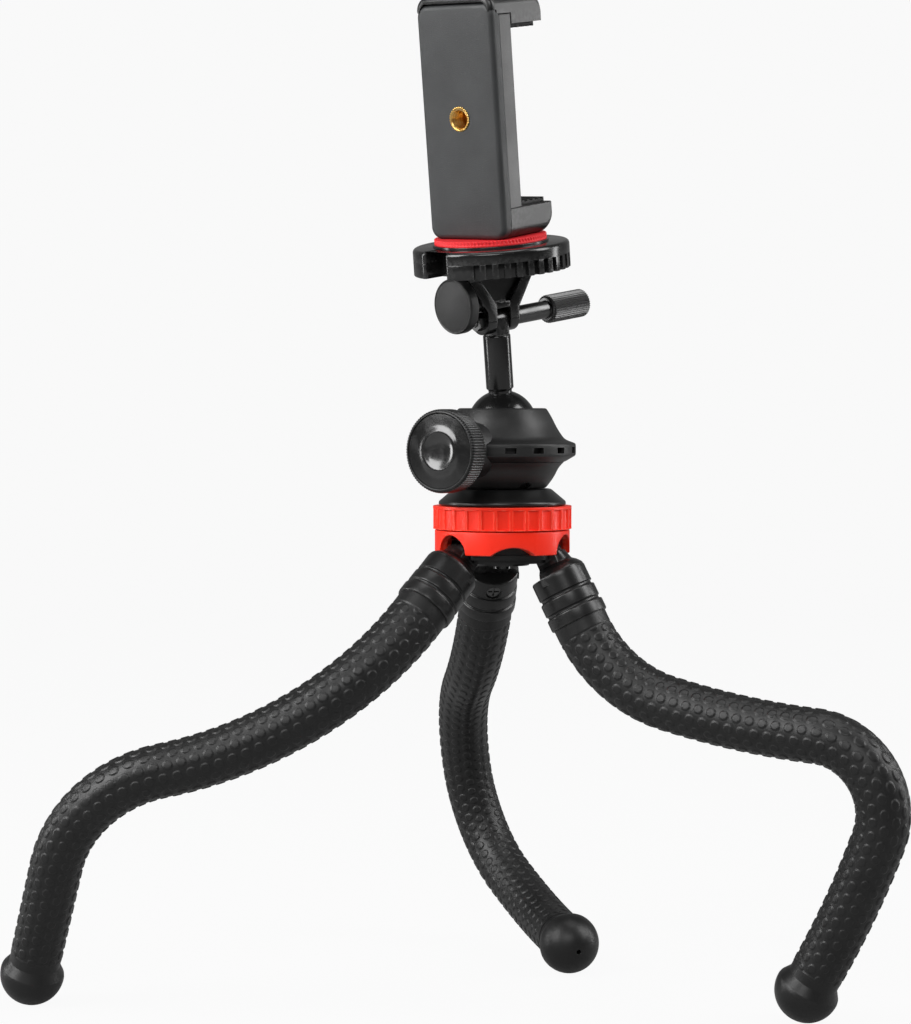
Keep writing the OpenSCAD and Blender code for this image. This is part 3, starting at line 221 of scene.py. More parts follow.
# Shapes
def eased(share):
    """Smooth step from 0 to 1."""
    t = np.clip(share, 0, 1)
    return t * t * (3 - 2 * t)


def angle_from(middle, degrees):
    """Angle from a middle, between -180 and 180 degrees."""
    return (degrees - middle + 180) % 360 - 180


def surface(points, place=None, ring=True, loop=False, capped=False):
    """Quads over rows and columns of points; ring joins the last column to the first, loop joins the last row
    to the first, and capped closes the first and the last row with a face."""
    rows, columns = points.shape[:2]
    index = np.arange(rows * columns).reshape(rows, columns)
    net = np.concatenate((index, index[:, :1]), axis=1) if ring else index
    net = np.concatenate((net, net[:1]), axis=0) if loop else net
    quads = np.stack((net[:-1, :-1], net[:-1, 1:], net[1:, 1:], net[1:, :-1]), axis=-1)
    faces = quads.reshape(-1, 4).tolist()
    if capped:
        faces += [index[0, ::-1].tolist(), index[-1].tolist()]
    flat = points.reshape(-1, 3)
    if place is not None:
        flat = flat @ place[:3, :3].T + place[:3, 3]
    return flat, faces


def rounded(corners, steps=5, closed=False):
    """Outline through corners (a, b, radius): a corner with a radius is a parabola between its two sides."""
    side_share = 0.48
    spots = np.array([corner[:2] for corner in corners], float)
    outline = []
    for k, corner in enumerate(corners):
        inside = closed or 0 < k < len(corners) - 1
        if len(corner) < 3 or not inside:
            outline.append(spots[k][None])
            continue
        before = spots[k - 1] - spots[k]
        after = spots[(k + 1) % len(spots)] - spots[k]
        reach = min(corner[2], side_share * np.linalg.norm(before), side_share * np.linalg.norm(after))
        start = spots[k] + before / np.linalg.norm(before) * reach
        end = spots[k] + after / np.linalg.norm(after) * reach
        t = np.linspace(0, 1, steps)[:, None]
        outline.append((1 - t) ** 2 * start + 2 * t * (1 - t) * spots[k] + t ** 2 * end)
    return np.concatenate(outline)


def arc(middle, radius, start, end, count):
    """Points on a circle between two angles in degrees."""
    angle = np.radians(np.linspace(start, end, count))
    return np.stack((middle[0] + radius * np.cos(angle), middle[1] + radius * np.sin(angle)), axis=-1)


def turned(profile, around, place=None, ripple=None, loop=False):
    """Surface of a profile (radius, height) carried round the z axis, at given angles or in equal steps;
    ripple gives what is added to the radius at each radius, height and angle."""
    angle = np.linspace(0, TURN, around, endpoint=False) if isinstance(around, int) else np.asarray(around)
    profile = np.asarray(profile, float)
    radius = np.repeat(profile[:, :1], len(angle), axis=1)
    height = np.repeat(profile[:, 1:2], len(angle), axis=1)
    if ripple is not None:
        radius = radius + ripple(radius, height, angle[None, :])
    points = np.stack((radius * np.cos(angle), radius * np.sin(angle), height), axis=-1)
    return surface(points, place, loop=loop)


def inset(outline, amount):
    """Closed outline moved to its inner side: each corner moves along the mean of its sides' normals."""
    least_share = 0.3
    side = np.roll(outline, -1, axis=0) - outline
    normal = np.stack((-side[:, 1], side[:, 0]), axis=-1) / np.linalg.norm(side, axis=1)[:, None]
    last = np.roll(normal, 1, axis=0)
    share = np.maximum(1 + (normal * last).sum(axis=1), least_share)[:, None]
    return outline + amount * (normal + last) / share


def slab(outline, low, high, place, edge=0.4, steps=4):
    """Prism of a closed outline carried from low to high, with both its edges rounded by a quarter circle."""
    outline = np.asarray(outline, float)
    angle = np.linspace(0, math.pi / 2, steps)
    pull = np.concatenate((edge * (1 - np.sin(angle)), edge * (1 - np.sin(angle[::-1]))))
    level = np.concatenate((low + edge * (1 - np.cos(angle)), high - edge * (1 - np.cos(angle[::-1]))))
    rows = [np.column_stack((inset(outline, p), np.full(len(outline), h))) for p, h in zip(pull, level)]
    return surface(np.stack(rows), place, capped=True)


def mesh_values(items, name, width, kind=np.float32):
    """Array of one property of all the items of a mesh, with a row for each item."""
    values = np.empty(len(items) * width, kind)
    items.foreach_get(name, values)
    return values.reshape(-1, width)


def mark_edges(mesh):
    """Attribute edge, from 0 on a flat to 1 on a sharp edge: how far the neighbours of a point lie below its
    tangent plane."""
    contrast, shortest = 3, 1e-9
    spots = mesh_values(mesh.vertices, "co", 3)
    normal = mesh_values(mesh.vertex_normals, "vector", 3)
    ends = mesh_values(mesh.edges, "vertices", 2, np.int32)
    drop = np.zeros(len(spots))
    links = np.zeros(len(spots))
    for here, there in (ends.T, ends.T[::-1]):
        step = spots[there] - spots[here]
        length = np.maximum(np.linalg.norm(step, axis=1), shortest)
        np.add.at(drop, here, -(step * normal[here]).sum(axis=1) / length)
        np.add.at(links, here, 1)
    value = np.clip(contrast * drop / np.maximum(links, 1), 0, 1)
    mesh.attributes.new("edge", "FLOAT", "POINT").data.foreach_set("value", value.astype(np.float32))


def piece(name, parts, material, body=None, replaced=(), sharp=32):
    """Object of closed surfaces joined in one mesh, in metres, that rides on a body and stands for solids."""
    weld = 0.002 * MM
    starts = np.cumsum([0] + [len(points) for points, _ in parts])
    points = np.concatenate([points for points, _ in parts]) * MM
    faces = [[start + k for k in face] for start, (_, quads) in zip(starts.tolist(), parts) for face in quads]
    mesh = bpy.data.meshes.new(name)
    mesh.from_pydata(points.tolist(), [], faces)
    shape = bmesh.new()
    shape.from_mesh(mesh)
    bmesh.ops.remove_doubles(shape, verts=shape.verts, dist=weld)
    bmesh.ops.recalc_face_normals(shape, faces=shape.faces)
    shape.to_mesh(mesh)
    shape.free()
    mesh.polygons.foreach_set("use_smooth", np.ones(len(mesh.polygons), bool))
    mesh.set_sharp_from_angle(angle=math.radians(sharp))
    mark_edges(mesh)
    made = bpy.data.objects.new(name, mesh)
    scene.collection.objects.link(made)
    mesh.materials.append(material)
    if body:
        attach(made, body)
    if replaced:
        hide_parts(*replaced)
    return made


# Finishes
def feed(tree, socket, value):
    """Link a socket to another one, or set it to a value."""
    if isinstance(value, bpy.types.NodeSocket):
        tree.links.new(value, socket)
    else:
        socket.default_value = value


def node(tree, kind, inputs=None, **settings):
    """Node of a kind with its settings and its inputs, by name or by number."""
    made = tree.nodes.new(kind)
    for name, value in settings.items():
        setattr(made, name, value)
    for key, value in (inputs or {}).items():
        feed(tree, made.inputs[key], value)
    return made


def math_node(tree, operation, a, b):
    """Sum, product or other operation of two values."""
    return node(tree, "ShaderNodeMath", {0: a, 1: b}, operation=operation).outputs[0]


def mapped(tree, value, low, high, to_low=0.0, to_high=1.0):
    """Value taken from one range to another, held at its ends."""
    inputs = {"Value": value, "From Min": low, "From Max": high, "To Min": to_low, "To Max": to_high}
    return node(tree, "ShaderNodeMapRange", inputs).outputs[0]


def mixed(tree, share, first, second):
    """Colour between two colours."""
    return node(tree, "ShaderNodeMix", {0: share, 6: first, 7: second}, data_type="RGBA").outputs[2]


def noise(tree, vector, scale, detail, **more):
    """Level of a noise at a scale and a detail."""
    inputs = {"Vector": vector, "Scale": scale, "Detail": detail, **more}
    return node(tree, "ShaderNodeTexNoise", inputs).outputs[0]


def effect(name, outputs):
    """Empty shader node group that takes a place and a scale and puts out numbers."""
    tree = bpy.data.node_groups.new(name, "ShaderNodeTree")
    for label, kind in (("Vector", "NodeSocketVector"), ("Scale", "NodeSocketFloat")):
        tree.interface.new_socket(name=label, in_out="INPUT", socket_type=kind)
    for label in outputs:
        tree.interface.new_socket(name=label, in_out="OUTPUT", socket_type="NodeSocketFloat")
    given = tree.nodes.new("NodeGroupInput").outputs
    result = tree.nodes.new("NodeGroupOutput").inputs
    return tree, given, result


def moulded_grain():
    """Fine grain of a mould: small bumps, and a slow drift of tone over the surface."""
    slow, fine_share, tones = 0.035, 0.45, (0.5, 0.95)
    tree, given, result = effect("moulded_grain", ("Height", "Tone"))
    fine = noise(tree, given[0], given[1], 3.0, Roughness=0.6)
    broad = noise(tree, given[0], math_node(tree, "MULTIPLY", given[1], slow), 4.0)
    both = math_node(tree, "ADD", math_node(tree, "MULTIPLY", fine, fine_share), broad)
    tree.links.new(fine, result[0])
    tree.links.new(mapped(tree, both, *tones), result[1])
    return tree


def handling_marks():
    """Smears left by fingers: stretched patches of shine."""
    levels = (0.36, 0.66)
    tree, given, result = effect("handling_marks", ("Mask",))
    patch = noise(tree, given[0], given[1], 5.0, Roughness=0.62, Distortion=0.7)
    tree.links.new(mapped(tree, patch, *levels), result[0])
    return tree


def edge_wear():
    """Rubbed edges: the edge attribute broken up by grain."""
    edges, levels = (0.15, 0.7), (0.38, 0.62)
    tree, given, result = effect("edge_wear", ("Mask",))
    edge = node(tree, "ShaderNodeAttribute", attribute_name="edge").outputs["Fac"]
    grain = noise(tree, given[0], given[1], 4.0)
    rubbed = math_node(tree, "MULTIPLY", mapped(tree, edge, *edges), mapped(tree, grain, *levels))
    tree.links.new(rubbed, result[0])
    return tree


def dust_specks():
    """Specks of dust: the middles of the cells of a fine pattern, in a few patches."""
    patch_scale, sizes, levels = 90.0, (0.16, 0.08), (0.6, 0.75)
    tree, given, result = effect("dust_specks", ("Mask",))
    cells = node(tree, "ShaderNodeTexVoronoi", {"Vector": given[0], "Scale": given[1]}).outputs["Distance"]
    patch = noise(tree, given[0], patch_scale, 2.0)
    speck = math_node(tree, "MULTIPLY", mapped(tree, cells, *sizes), mapped(tree, patch, *levels))
    tree.links.new(speck, result[0])
    return tree


EFFECTS = {tree.name: tree for tree in (moulded_grain(), handling_marks(), edge_wear(), dust_specks())}
WEAR_SCALE = 700.0
DUST_SCALE = 420.0
COAT_ROUGHNESS = 0.08


def placed(tree, name, vector, scale):
    """One of the shared effects placed in a material."""
    made = tree.nodes.new("ShaderNodeGroup")
    made.node_tree = EFFECTS[name]
    tree.links.new(vector, made.inputs["Vector"])
    made.inputs["Scale"].default_value = scale
    return made.outputs


def shade(level, tint=(1.0, 1.0, 1.0)):
    """Colour of a grey level and a tint."""
    return (level * tint[0], level * tint[1], level * tint[2], 1.0)


def finish(name, dark, light, rough, grain=1600.0, depth=0.03, marks=45.0, worn=None, dust=None, metal=0.0,
           shine=0.5, coat=0.0):
    """Material with a mould's grain, its depth in millimetres: its tone lies between two colours, handling
    marks set its roughness, and it may have worn edges and dust."""
    material = bpy.data.materials.new(name)
    material.use_nodes = True
    tree = material.node_tree
    shader = tree.nodes["Principled BSDF"]
    vector = node(tree, "ShaderNodeTexCoord").outputs["Object"]
    height, tone = placed(tree, "moulded_grain", vector, grain)
    colour = mixed(tree, tone, dark, light)
    if worn:
        colour = mixed(tree, placed(tree, "edge_wear", vector, WEAR_SCALE)[0], colour, worn)
    if dust:
        colour = mixed(tree, placed(tree, "dust_specks", vector, DUST_SCALE)[0], colour, dust)
    tree.links.new(colour, shader.inputs["Base Color"])
    mask = placed(tree, "handling_marks", vector, marks)[0]
    tree.links.new(mapped(tree, mask, 0.0, 1.0, *rough), shader.inputs["Roughness"])
    bump = node(tree, "ShaderNodeBump", {"Height": height, "Strength": 1.0, "Distance": depth * MM})
    tree.links.new(bump.outputs[0], shader.inputs["Normal"])
    shader.inputs["Metallic"].default_value = metal
    shader.inputs["Specular IOR Level"].default_value = shine
    shader.inputs["Coat Weight"].default_value = coat
    shader.inputs["Coat Roughness"].default_value = COAT_ROUGHNESS
    return material


DUST = shade(0.06)
RUBBED = shade(0.03)
BLUISH = (0.94, 1, 1.04)
BLACK_PLASTIC = finish("black_plastic", shade(0.006), shade(0.009), (0.28, 0.35), depth=0.01, worn=RUBBED,
                       shine=0.42)
SATIN_BLACK = finish("satin_black", shade(0.007), shade(0.012), (0.4, 0.5), grain=2400.0, worn=RUBBED,
                     dust=DUST, shine=0.42)
GLOSS_BLACK = finish("gloss_black", shade(0.004), shade(0.007), (0.14, 0.26), depth=0.006, worn=RUBBED,
                     dust=DUST)
CAP_BLACK = finish("cap_black", shade(0.005), shade(0.012), (0.09, 0.26), depth=0.008, marks=120.0, coat=0.4)
GREY_PLASTIC = finish("grey_plastic", shade(0.02, BLUISH), shade(0.028, BLUISH), (0.44, 0.56), grain=2600.0,
                      depth=0.06, dust=DUST)
PALE_GREY = finish("pale_grey_plastic", shade(0.10), shade(0.14), (0.5, 0.64), grain=2600.0, depth=0.06)
RED_PLASTIC = finish("red_plastic", shade(0.9, (1, 0.022, 0.006)), shade(0.96, (1, 0.03, 0.008)),
                     (0.32, 0.44), depth=0.012, worn=shade(0.97, (1, 0.14, 0.08)), shine=0.35)
RED_RUBBER = finish("red_rubber", shade(0.62, (1, 0.012, 0.02)), shade(0.78, (1, 0.02, 0.03)), (0.5, 0.66),
                    depth=0.05)
LEG_RUBBER = finish("leg_rubber", shade(0.005), shade(0.009), (0.36, 0.46), grain=3000.0, depth=0.02,
                    shine=0.36, worn=shade(0.016))
PAD_RUBBER = finish("pad_rubber", shade(0.006), shade(0.011), (0.6, 0.75), grain=3000.0, depth=0.05)
STEEL = finish("steel", shade(0.38), shade(0.5), (0.26, 0.4), grain=900.0, depth=0.01, metal=1.0)
DARK_METAL = finish("dark_metal", shade(0.07), shade(0.1), (0.26, 0.36), grain=1200.0, depth=0.006, metal=1.0)
WIRE = finish("core_wire", shade(0.42), shade(0.55), (0.35, 0.5), grain=900.0, depth=0.02, metal=1.0)
BRASS = finish("brass", (0.58, 0.34, 0.09, 1), (0.72, 0.45, 0.14, 1), (0.2, 0.36), grain=900.0, depth=0.012,
               metal=1.0, worn=(0.95, 0.75, 0.4, 1))


# Legs
def button_height(run, angle):
    """Height of the raised buttons from 0 to 1: distance to the nearest point of two staggered lattices, with
    a flat top and a smooth flank."""
    along = run / BUTTON_PITCH
    around = angle * BUTTONS_ROUND / TURN
    width = TURN * SLEEVE_TOP / BUTTONS_ROUND
    gaps = []
    for half in (0.0, 0.5):
        u = along + half - np.round(along + half)
        v = around + half - np.round(around + half)
        gaps.append(np.hypot(u * BUTTON_PITCH, v * width))
    return eased((BUTTON_RADIUS - np.minimum(*gaps)) / BUTTON_FLANK)


def sleeve(leg, part, start, end):
    """Length of the soft sleeve: a circle with raised buttons carried along the leg's path, closed at both
    ends, with a plain band at the collar and at the foot."""
    fade, lap, band_rise = 0.3, 0.4, 0.7
    steps = int(round((end - start) / BUTTON_PITCH * CELLS_ALONG))
    run = np.linspace(start, end, steps + 1)
    angle = np.linspace(0, TURN, BUTTONS_ROUND * CELLS_ROUND, endpoint=False)
    ending = eased((SLEEVE_LENGTH + SLEEVE_OVER - PLAIN_END - run) / fade)
    patterned = eased((run - PLAIN_BAND) / fade) * ending
    band = 1 - eased((run - PLAIN_BAND + lap) / fade) * ending
    raised = button_height(run[:, None], angle[None, :]) * patterned[:, None]
    thick = SLEEVE_TOP + (SLEEVE_END - SLEEVE_TOP) * run / SLEEVE_LENGTH - BUTTON_SINK
    radius = thick[:, None] + BUTTON_HEIGHT * np.maximum(raised, band_rise * band[:, None])
    closed = np.zeros_like(radius[:1])
    radius = np.concatenate((closed, radius, closed))
    path = leg_path(leg, run)
    path = np.concatenate((path[:1], path, path[-1:]))
    out, aside, middle = (path[:, None, :3, column] for column in (0, 1, 3))
    spoke = np.cos(angle)[None, :, None] * out + np.sin(angle)[None, :, None] * aside
    points = middle + radius[:, :, None] * spoke
    nodes = [f"{leg}_sleeve"] if part == "upper" else []
    return piece(f"{leg}_sleeve_{part}", [surface(points)], LEG_RUBBER, None, nodes, sharp=80)


def sleeves(leg):
    """Three lengths of sleeve, each across one bend of the leg, that meet midway between the bends."""
    bends = [bend[0] for bend in bends_of(leg)]
    joints = SLEEVE_LEAD + np.cumsum(bends)[:3]
    between = [(joints[0] + joints[1]) / 2, (joints[1] + joints[2]) / 2]
    meets = [0.0, *between, SLEEVE_LENGTH + SLEEVE_OVER]
    for k, part in enumerate(("upper", "middle", "lower")):
        made = sleeve(leg, part, meets[k], meets[k + 1])
        here = leg_path(leg, [joints[k]])[0]
        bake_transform(made)


def foot(leg):
    """Rubber foot: a neck, a crisp bevel and a ball with a small hole, carried round the leg's end."""
    neck, neck_top = SLEEVE_END - 0.05, -8.4
    bevel, bevel_top, bevel_low = 10.25, -4.6, -1.6
    hole, lip, depth = 0.8, 0.3, 2.5
    high = math.degrees(math.acos((hole + lip) / FOOT_RADIUS))
    ball = arc((0, 0), FOOT_RADIUS, -3, high, 48)
    top = rounded([(0, neck_top), (neck, neck_top, 0.3), (neck, bevel_top, 0.12), (bevel, bevel_low, 0.25),
                   ball[0]], 3)
    tip = ball[-1, 1]
    end = rounded([ball[-1], (hole, tip, lip), (hole, tip - depth, 0.3), (0, tip - depth)])
    place = leg_path(leg, [SLEEVE_LENGTH])[0] @ shift(0, 0, FOOT_REACH)
    profile = np.concatenate((top[:-1], ball, end[1:]))
    piece(f"{leg}_foot_rubber", [turned(profile, 96, place)], LEG_RUBBER, f"{leg}_leg_4", [f"{leg}_foot"],
          sharp=12)


def hood(place):
    """Hood of a collar over its hinge: sections across the leg, square over the pin and round at the barrel,
    that swell from the ears to the first band; a round room on their inner side is left for the hub's lug."""
    start, lug, end, ears, skin = -0.75, 3.3, 10.6, -3.4, 0.05
    reaches = ((start, 3.45), (0.7, 3.5), (1.3, 5.4), (3.0, 6.0), (4.8, 6.5), (5.8, 7.8), (7.4, 9.1),
               (end, 9.36))
    halves = ((start, 4.9), (1.0, 4.9), (lug, 5.1), (4.8, 5.5), (6.2, 7.6), (7.8, 9.1), (end, 9.36))
    squares = ((start, 0.5), (1.0, 0.6), (2.5, 0.85), (end, 1.0))
    above, below = np.linspace(start, lug, 18), np.linspace(lug, end, 28)
    level = np.concatenate((above, below))
    room = np.sqrt(np.maximum(lug ** 2 - above ** 2, 0))
    inner = np.concatenate((room, np.full(len(below), ears)))[:, None]
    reach, half, square = (np.interp(level, *zip(*table))[:, None] for table in (reaches, halves, squares))
    turn = np.radians(np.linspace(-90, 90, 41))[None, :]
    x = np.maximum(reach * np.abs(np.cos(turn)) ** square, inner + skin)
    y = half * np.sign(turn) * np.abs(np.sin(turn)) ** square
    x = np.concatenate((x, inner, inner), axis=1)
    y = np.concatenate((y, half, -half), axis=1)
    z = np.repeat(level[:, None], x.shape[1], axis=1)
    return surface(np.stack((x, y, z), axis=-1), place, capped=True)


def collar(leg):
    """Hard collar: a grooved barrel carried round the leg, two ears on the hinge pin and a hood over them."""
    place = leg_place(leg)
    top, bands = 7.8, (9.4, 9.65, 9.9)
    grooves, groove_depth, groove_mouth, groove_floor = (14.75, 20.25), 0.55, 0.7, 0.4
    screw_level, seat_radius, seat_floor, seat_side = 12.0, 2.6, 6.9, 8
    seat_rows = np.linspace(9.35, 13.95, 27)
    ear_radius, ear_end, ear_width, ear_starts = 3.6, 9.0, 2.45, (-5.0, 2.55)

    def seat(radius, height, angle):
        """Round seat of the screw in the inner side of the barrel."""
        inside = np.hypot(radius * np.sin(angle), height - screw_level) < seat_radius
        return np.where(inside & (np.cos(angle) < 0) & (radius > seat_side), seat_floor - radius, 0.0)

    corners = [(0, top), (bands[0], top, 0.8)] + [(bands[0], level) for level in seat_rows]
    for band, after, level in zip(bands, bands[1:], grooves):
        bottom = band - groove_depth
        corners += [(band, level - groove_mouth, 0.4), (bottom, level - groove_floor, 0.2),
                    (bottom, level + groove_floor, 0.2), (after, level + groove_mouth, 0.4)]
    corners += [(bands[-1], COLLAR_LENGTH, 0.7), (0, COLLAR_LENGTH)]
    around = np.radians(np.concatenate((np.arange(-160, 160, 4.0), np.arange(160, 200, 0.8))))
    parts = [turned(rounded(corners, 4), around, place, seat), hood(place)]
    root = [(ear_radius, ear_end), (-ear_radius, ear_end)]
    ear = np.concatenate((arc((0, 0), ear_radius, 180, 360, 28), root))
    for low in ear_starts:
        parts.append(slab(ear, low, low + ear_width, place @ ACROSS, 0.35))
    piece(f"{leg}_collar_shell", parts, BLACK_PLASTIC, f"{leg}_collar", [f"{leg}_collar"])


for leg_name in LEG_NAMES:
    sleeves(leg_name)
    foot(leg_name)
    collar(leg_name)


# Hub and ball head
def shroud():
    """Plain band over the legs: a rounded wall carried round the axis, its lower edge lifted by an arch over
    each leg and by a shallow scallop between them; it is thinner at the arches."""
    arch, scallop, scallop_rise = 6.7, 12.0, 2.7
    thin, thin_half, edge = 20.2, 7.2, 0.45
    angle = np.linspace(0, TURN, 1440, endpoint=False)
    third = TURN / 3
    lower = np.full_like(angle, SHROUD_BOTTOM)
    rises = ((0.0, arch, SHROUD_BOTTOM - 0.3), (0.5, scallop, SHROUD_BOTTOM + scallop_rise - scallop))
    for turn, radius, level in rises:
        off = angle - math.radians(LEG_AZIMUTH) - turn * third
        aside = SHROUD_RADIUS * np.sin((off + third / 2) % third - third / 2)
        lower = np.maximum(lower, level + np.sqrt(np.maximum(radius ** 2 - aside ** 2, 0)))
    off = (angle - math.radians(LEG_AZIMUTH) + third / 2) % third - third / 2
    inner = np.where(np.abs(SHROUD_RADIUS * np.sin(off)) < thin_half, thin, SPIGOT_RADIUS)[None]
    quarter = np.radians(np.linspace(0, 90, 5))
    out = np.concatenate((edge * (np.sin(quarter) - 1), edge * (np.cos(quarter) - 1)))
    rise = np.concatenate((edge * (1 - np.cos(quarter)), edge * (np.sin(quarter) - 1)))
    share = np.repeat((0.0, 1.0), len(quarter))
    radius = np.repeat(SHROUD_RADIUS + out[:, None], len(angle), axis=1)
    radius = np.concatenate((radius, inner, inner))
    height = lower[None] + share[:, None] * (SHROUD_TOP - lower)[None] + rise[:, None]
    height = np.concatenate((height, np.full_like(lower, SHROUD_TOP)[None], lower[None]))
    points = np.stack((radius * np.cos(angle), radius * np.sin(angle), height), axis=-1)
    piece("leg_shroud_band", [surface(points, loop=True)], RED_PLASTIC, "hub", ["leg_shroud"])


def lock_ring():
    """Fluted ring: a wall carried round the axis, with wide flutes between narrow ridges, below a lip."""
    flutes, depth, floor, flank, bow = 28, 0.75, 0.66, 0.14, 0.3
    top, bottom, top_fade, bottom_fade = RING_TOP - 0.9, RING_BOTTOM + 0.2, 0.25, 0.2
    bore, edge, rows = SPIGOT_RADIUS + 0.05, 0.4, 30

    def flute(radius, height, angle):
        """Depth of the flutes: a shallow hollow with steep sides, ending square below the lip."""
        turn = angle * flutes / TURN
        across = np.abs(turn - np.round(turn)) * 2
        hollow = (1 - bow * (across / floor) ** 2) * (1 - eased((across - floor) / flank))
        ends = eased((top - height) / top_fade) * eased((height - bottom) / bottom_fade)
        return -depth * hollow * ends * (radius > SPIGOT_RADIUS + 2)

    levels = np.linspace(RING_BOTTOM + edge, RING_TOP - edge, rows)
    wall = np.column_stack((np.full(rows, RING_RADIUS), levels))
    foot_edge = rounded([(bore, RING_BOTTOM), (RING_RADIUS, RING_BOTTOM, edge), wall[0]])
    top_edge = rounded([wall[-1], (RING_RADIUS, RING_TOP, edge), (bore, RING_TOP)])
    profile = np.concatenate((foot_edge[:-1], wall, top_edge[1:]))
    ring = turned(profile, flutes * 22, ripple=flute, loop=True)
    piece("fluted_ring", [ring], RED_PLASTIC, "lock_ring", ["lock_ring"])


def pan_base():
    """Cone under the ball housing: a profile carried round the axis."""
    bore, foot_radius, top_radius = 3.0, 21.2, 16.0
    corners = [(bore, PAN_BOTTOM), (foot_radius, PAN_BOTTOM, 0.35), (foot_radius, PAN_BOTTOM + 1.1, 0.5),
               (top_radius + 0.6, PAN_TOP - 0.3, 0.8), (top_radius, PAN_TOP, 0.3), (bore, PAN_TOP)]
    piece("pan_cone", [turned(rounded(corners), 128, loop=True)], BLACK_PLASTIC, "hub", ["pan_base"])


def stepped_angles(middles, half, slope, fill):
    """Angles round a circle with close pairs at the edges of slots and steps of fill degrees elsewhere."""
    steps = [side * half + step for side in (-1, 1) for step in (-slope, slope)]
    edges = np.concatenate([np.asarray(middles) + step for step in steps])
    return np.radians(np.unique(np.round(np.concatenate((edges, np.arange(0, 360, fill))) % 360, 4)))


def upper_housing():
    """Upper shell of the ball housing: a profile carried round the axis, with window slots in its rim, and
    the boss of the lock screw."""
    windows, first, width, tall, deep = 16, 275.6, 3.7, 1.9, 2.4
    knob_room, row_gap, angle_gap = 20, 0.04, 0.06
    inside, rim, seat = 13.0, 24.4, 188.7
    boss_radius, boss_start, boss_end = 9.3, 12.0, 26.4
    middles = [first + 360 / windows * k for k in range(windows)]
    open_ones = [m for m in middles if abs(angle_from(LOCK_KNOB_AZIMUTH, m)) > knob_room]
    half = math.degrees(width / 2 / RIM_RADIUS)

    def window(radius, height, angle):
        """Depth of the window slots, on the upright wall of the rim alone."""
        cut = np.zeros(np.broadcast(height, angle).shape)
        for m in open_ones:
            off = np.abs(angle_from(m, np.degrees(angle)))
            cut = np.maximum(cut, (off < half) * (np.abs(height - RIM_LEVEL) < tall / 2))
        return -deep * cut * (radius > RIM_RADIUS - 0.3)

    rows = [RIM_LEVEL + side * (tall / 2 + step) for side in (-1, 1) for step in (-row_gap, row_gap)]
    wall = np.column_stack((np.full(4, RIM_RADIUS), sorted(rows)))
    low = rounded([(inside, HOUSING_SPLIT), (21.0, HOUSING_SPLIT, 0.2), (rim, RIM_LEVEL - 1.9, 0.5), wall[0]])
    high = rounded([wall[-1], (rim, RIM_LEVEL + 2.1, 0.5), (20.7, RIM_LEVEL + 3.5, 1.4),
                    (18.3, RIM_LEVEL + 7.0, 2.0), (16.3, RIM_LEVEL + 11.1, 2.0), (14.6, HOUSING_TOP, 0.6),
                    (10.4, HOUSING_TOP, 0.5), (10.6, HOUSING_TOP - 2.5), (inside, seat)], 8)
    profile = np.concatenate((low[:-1], wall, high[1:]))
    angles = stepped_angles(open_ones, half, angle_gap, 2.0)
    boss = rounded([(0, boss_start), (boss_radius, boss_start), (boss_radius, boss_end - 0.2, 0.6),
                    (6.0, boss_end, 0.2), (0, boss_end)])
    parts = [turned(profile, angles, ripple=window, loop=True), turned(boss, 64, KNOB)]
    piece("housing_shell_upper", parts, SATIN_BLACK, "housing", ["housing_upper"])


def lower_housing():
    """Lower shell of the ball housing: a bowl carried round the axis, with an arched recess at its foot."""
    mark, mark_radius, mark_depth, mark_reach, mark_top = 299.0, 2.1, 1.8, 15.0, 174
    foot_radius = 14.5

    def arch(radius, height, angle):
        """Small arched recess at the foot of the shell."""
        aside = mark_reach * np.radians(angle_from(mark, np.degrees(angle)))
        inside = np.hypot(aside, height - HOUSING_BOTTOM) < mark_radius
        return np.where(inside & (radius > foot_radius - 1) & (height < mark_top), -mark_depth, 0.0)

    top = HOUSING_SPLIT - 0.1
    outline = rounded([(9.0, HOUSING_BOTTOM), (foot_radius, HOUSING_BOTTOM, 0.5), (17.0, 173.6, 3.0),
                       (18.8, 177.2, 2.0), (20.6, top, 0.2), (14.0, top)], 14)
    fine = np.concatenate((np.arange(0, 360, 2.0), np.arange(mark - 10, mark + 10, 0.25)))
    angles = np.radians(np.unique(np.round(fine % 360, 3)))
    shell = turned(outline, angles, ripple=arch, loop=True)
    piece("housing_shell_lower", [shell], SATIN_BLACK, "housing", ["housing_lower"])


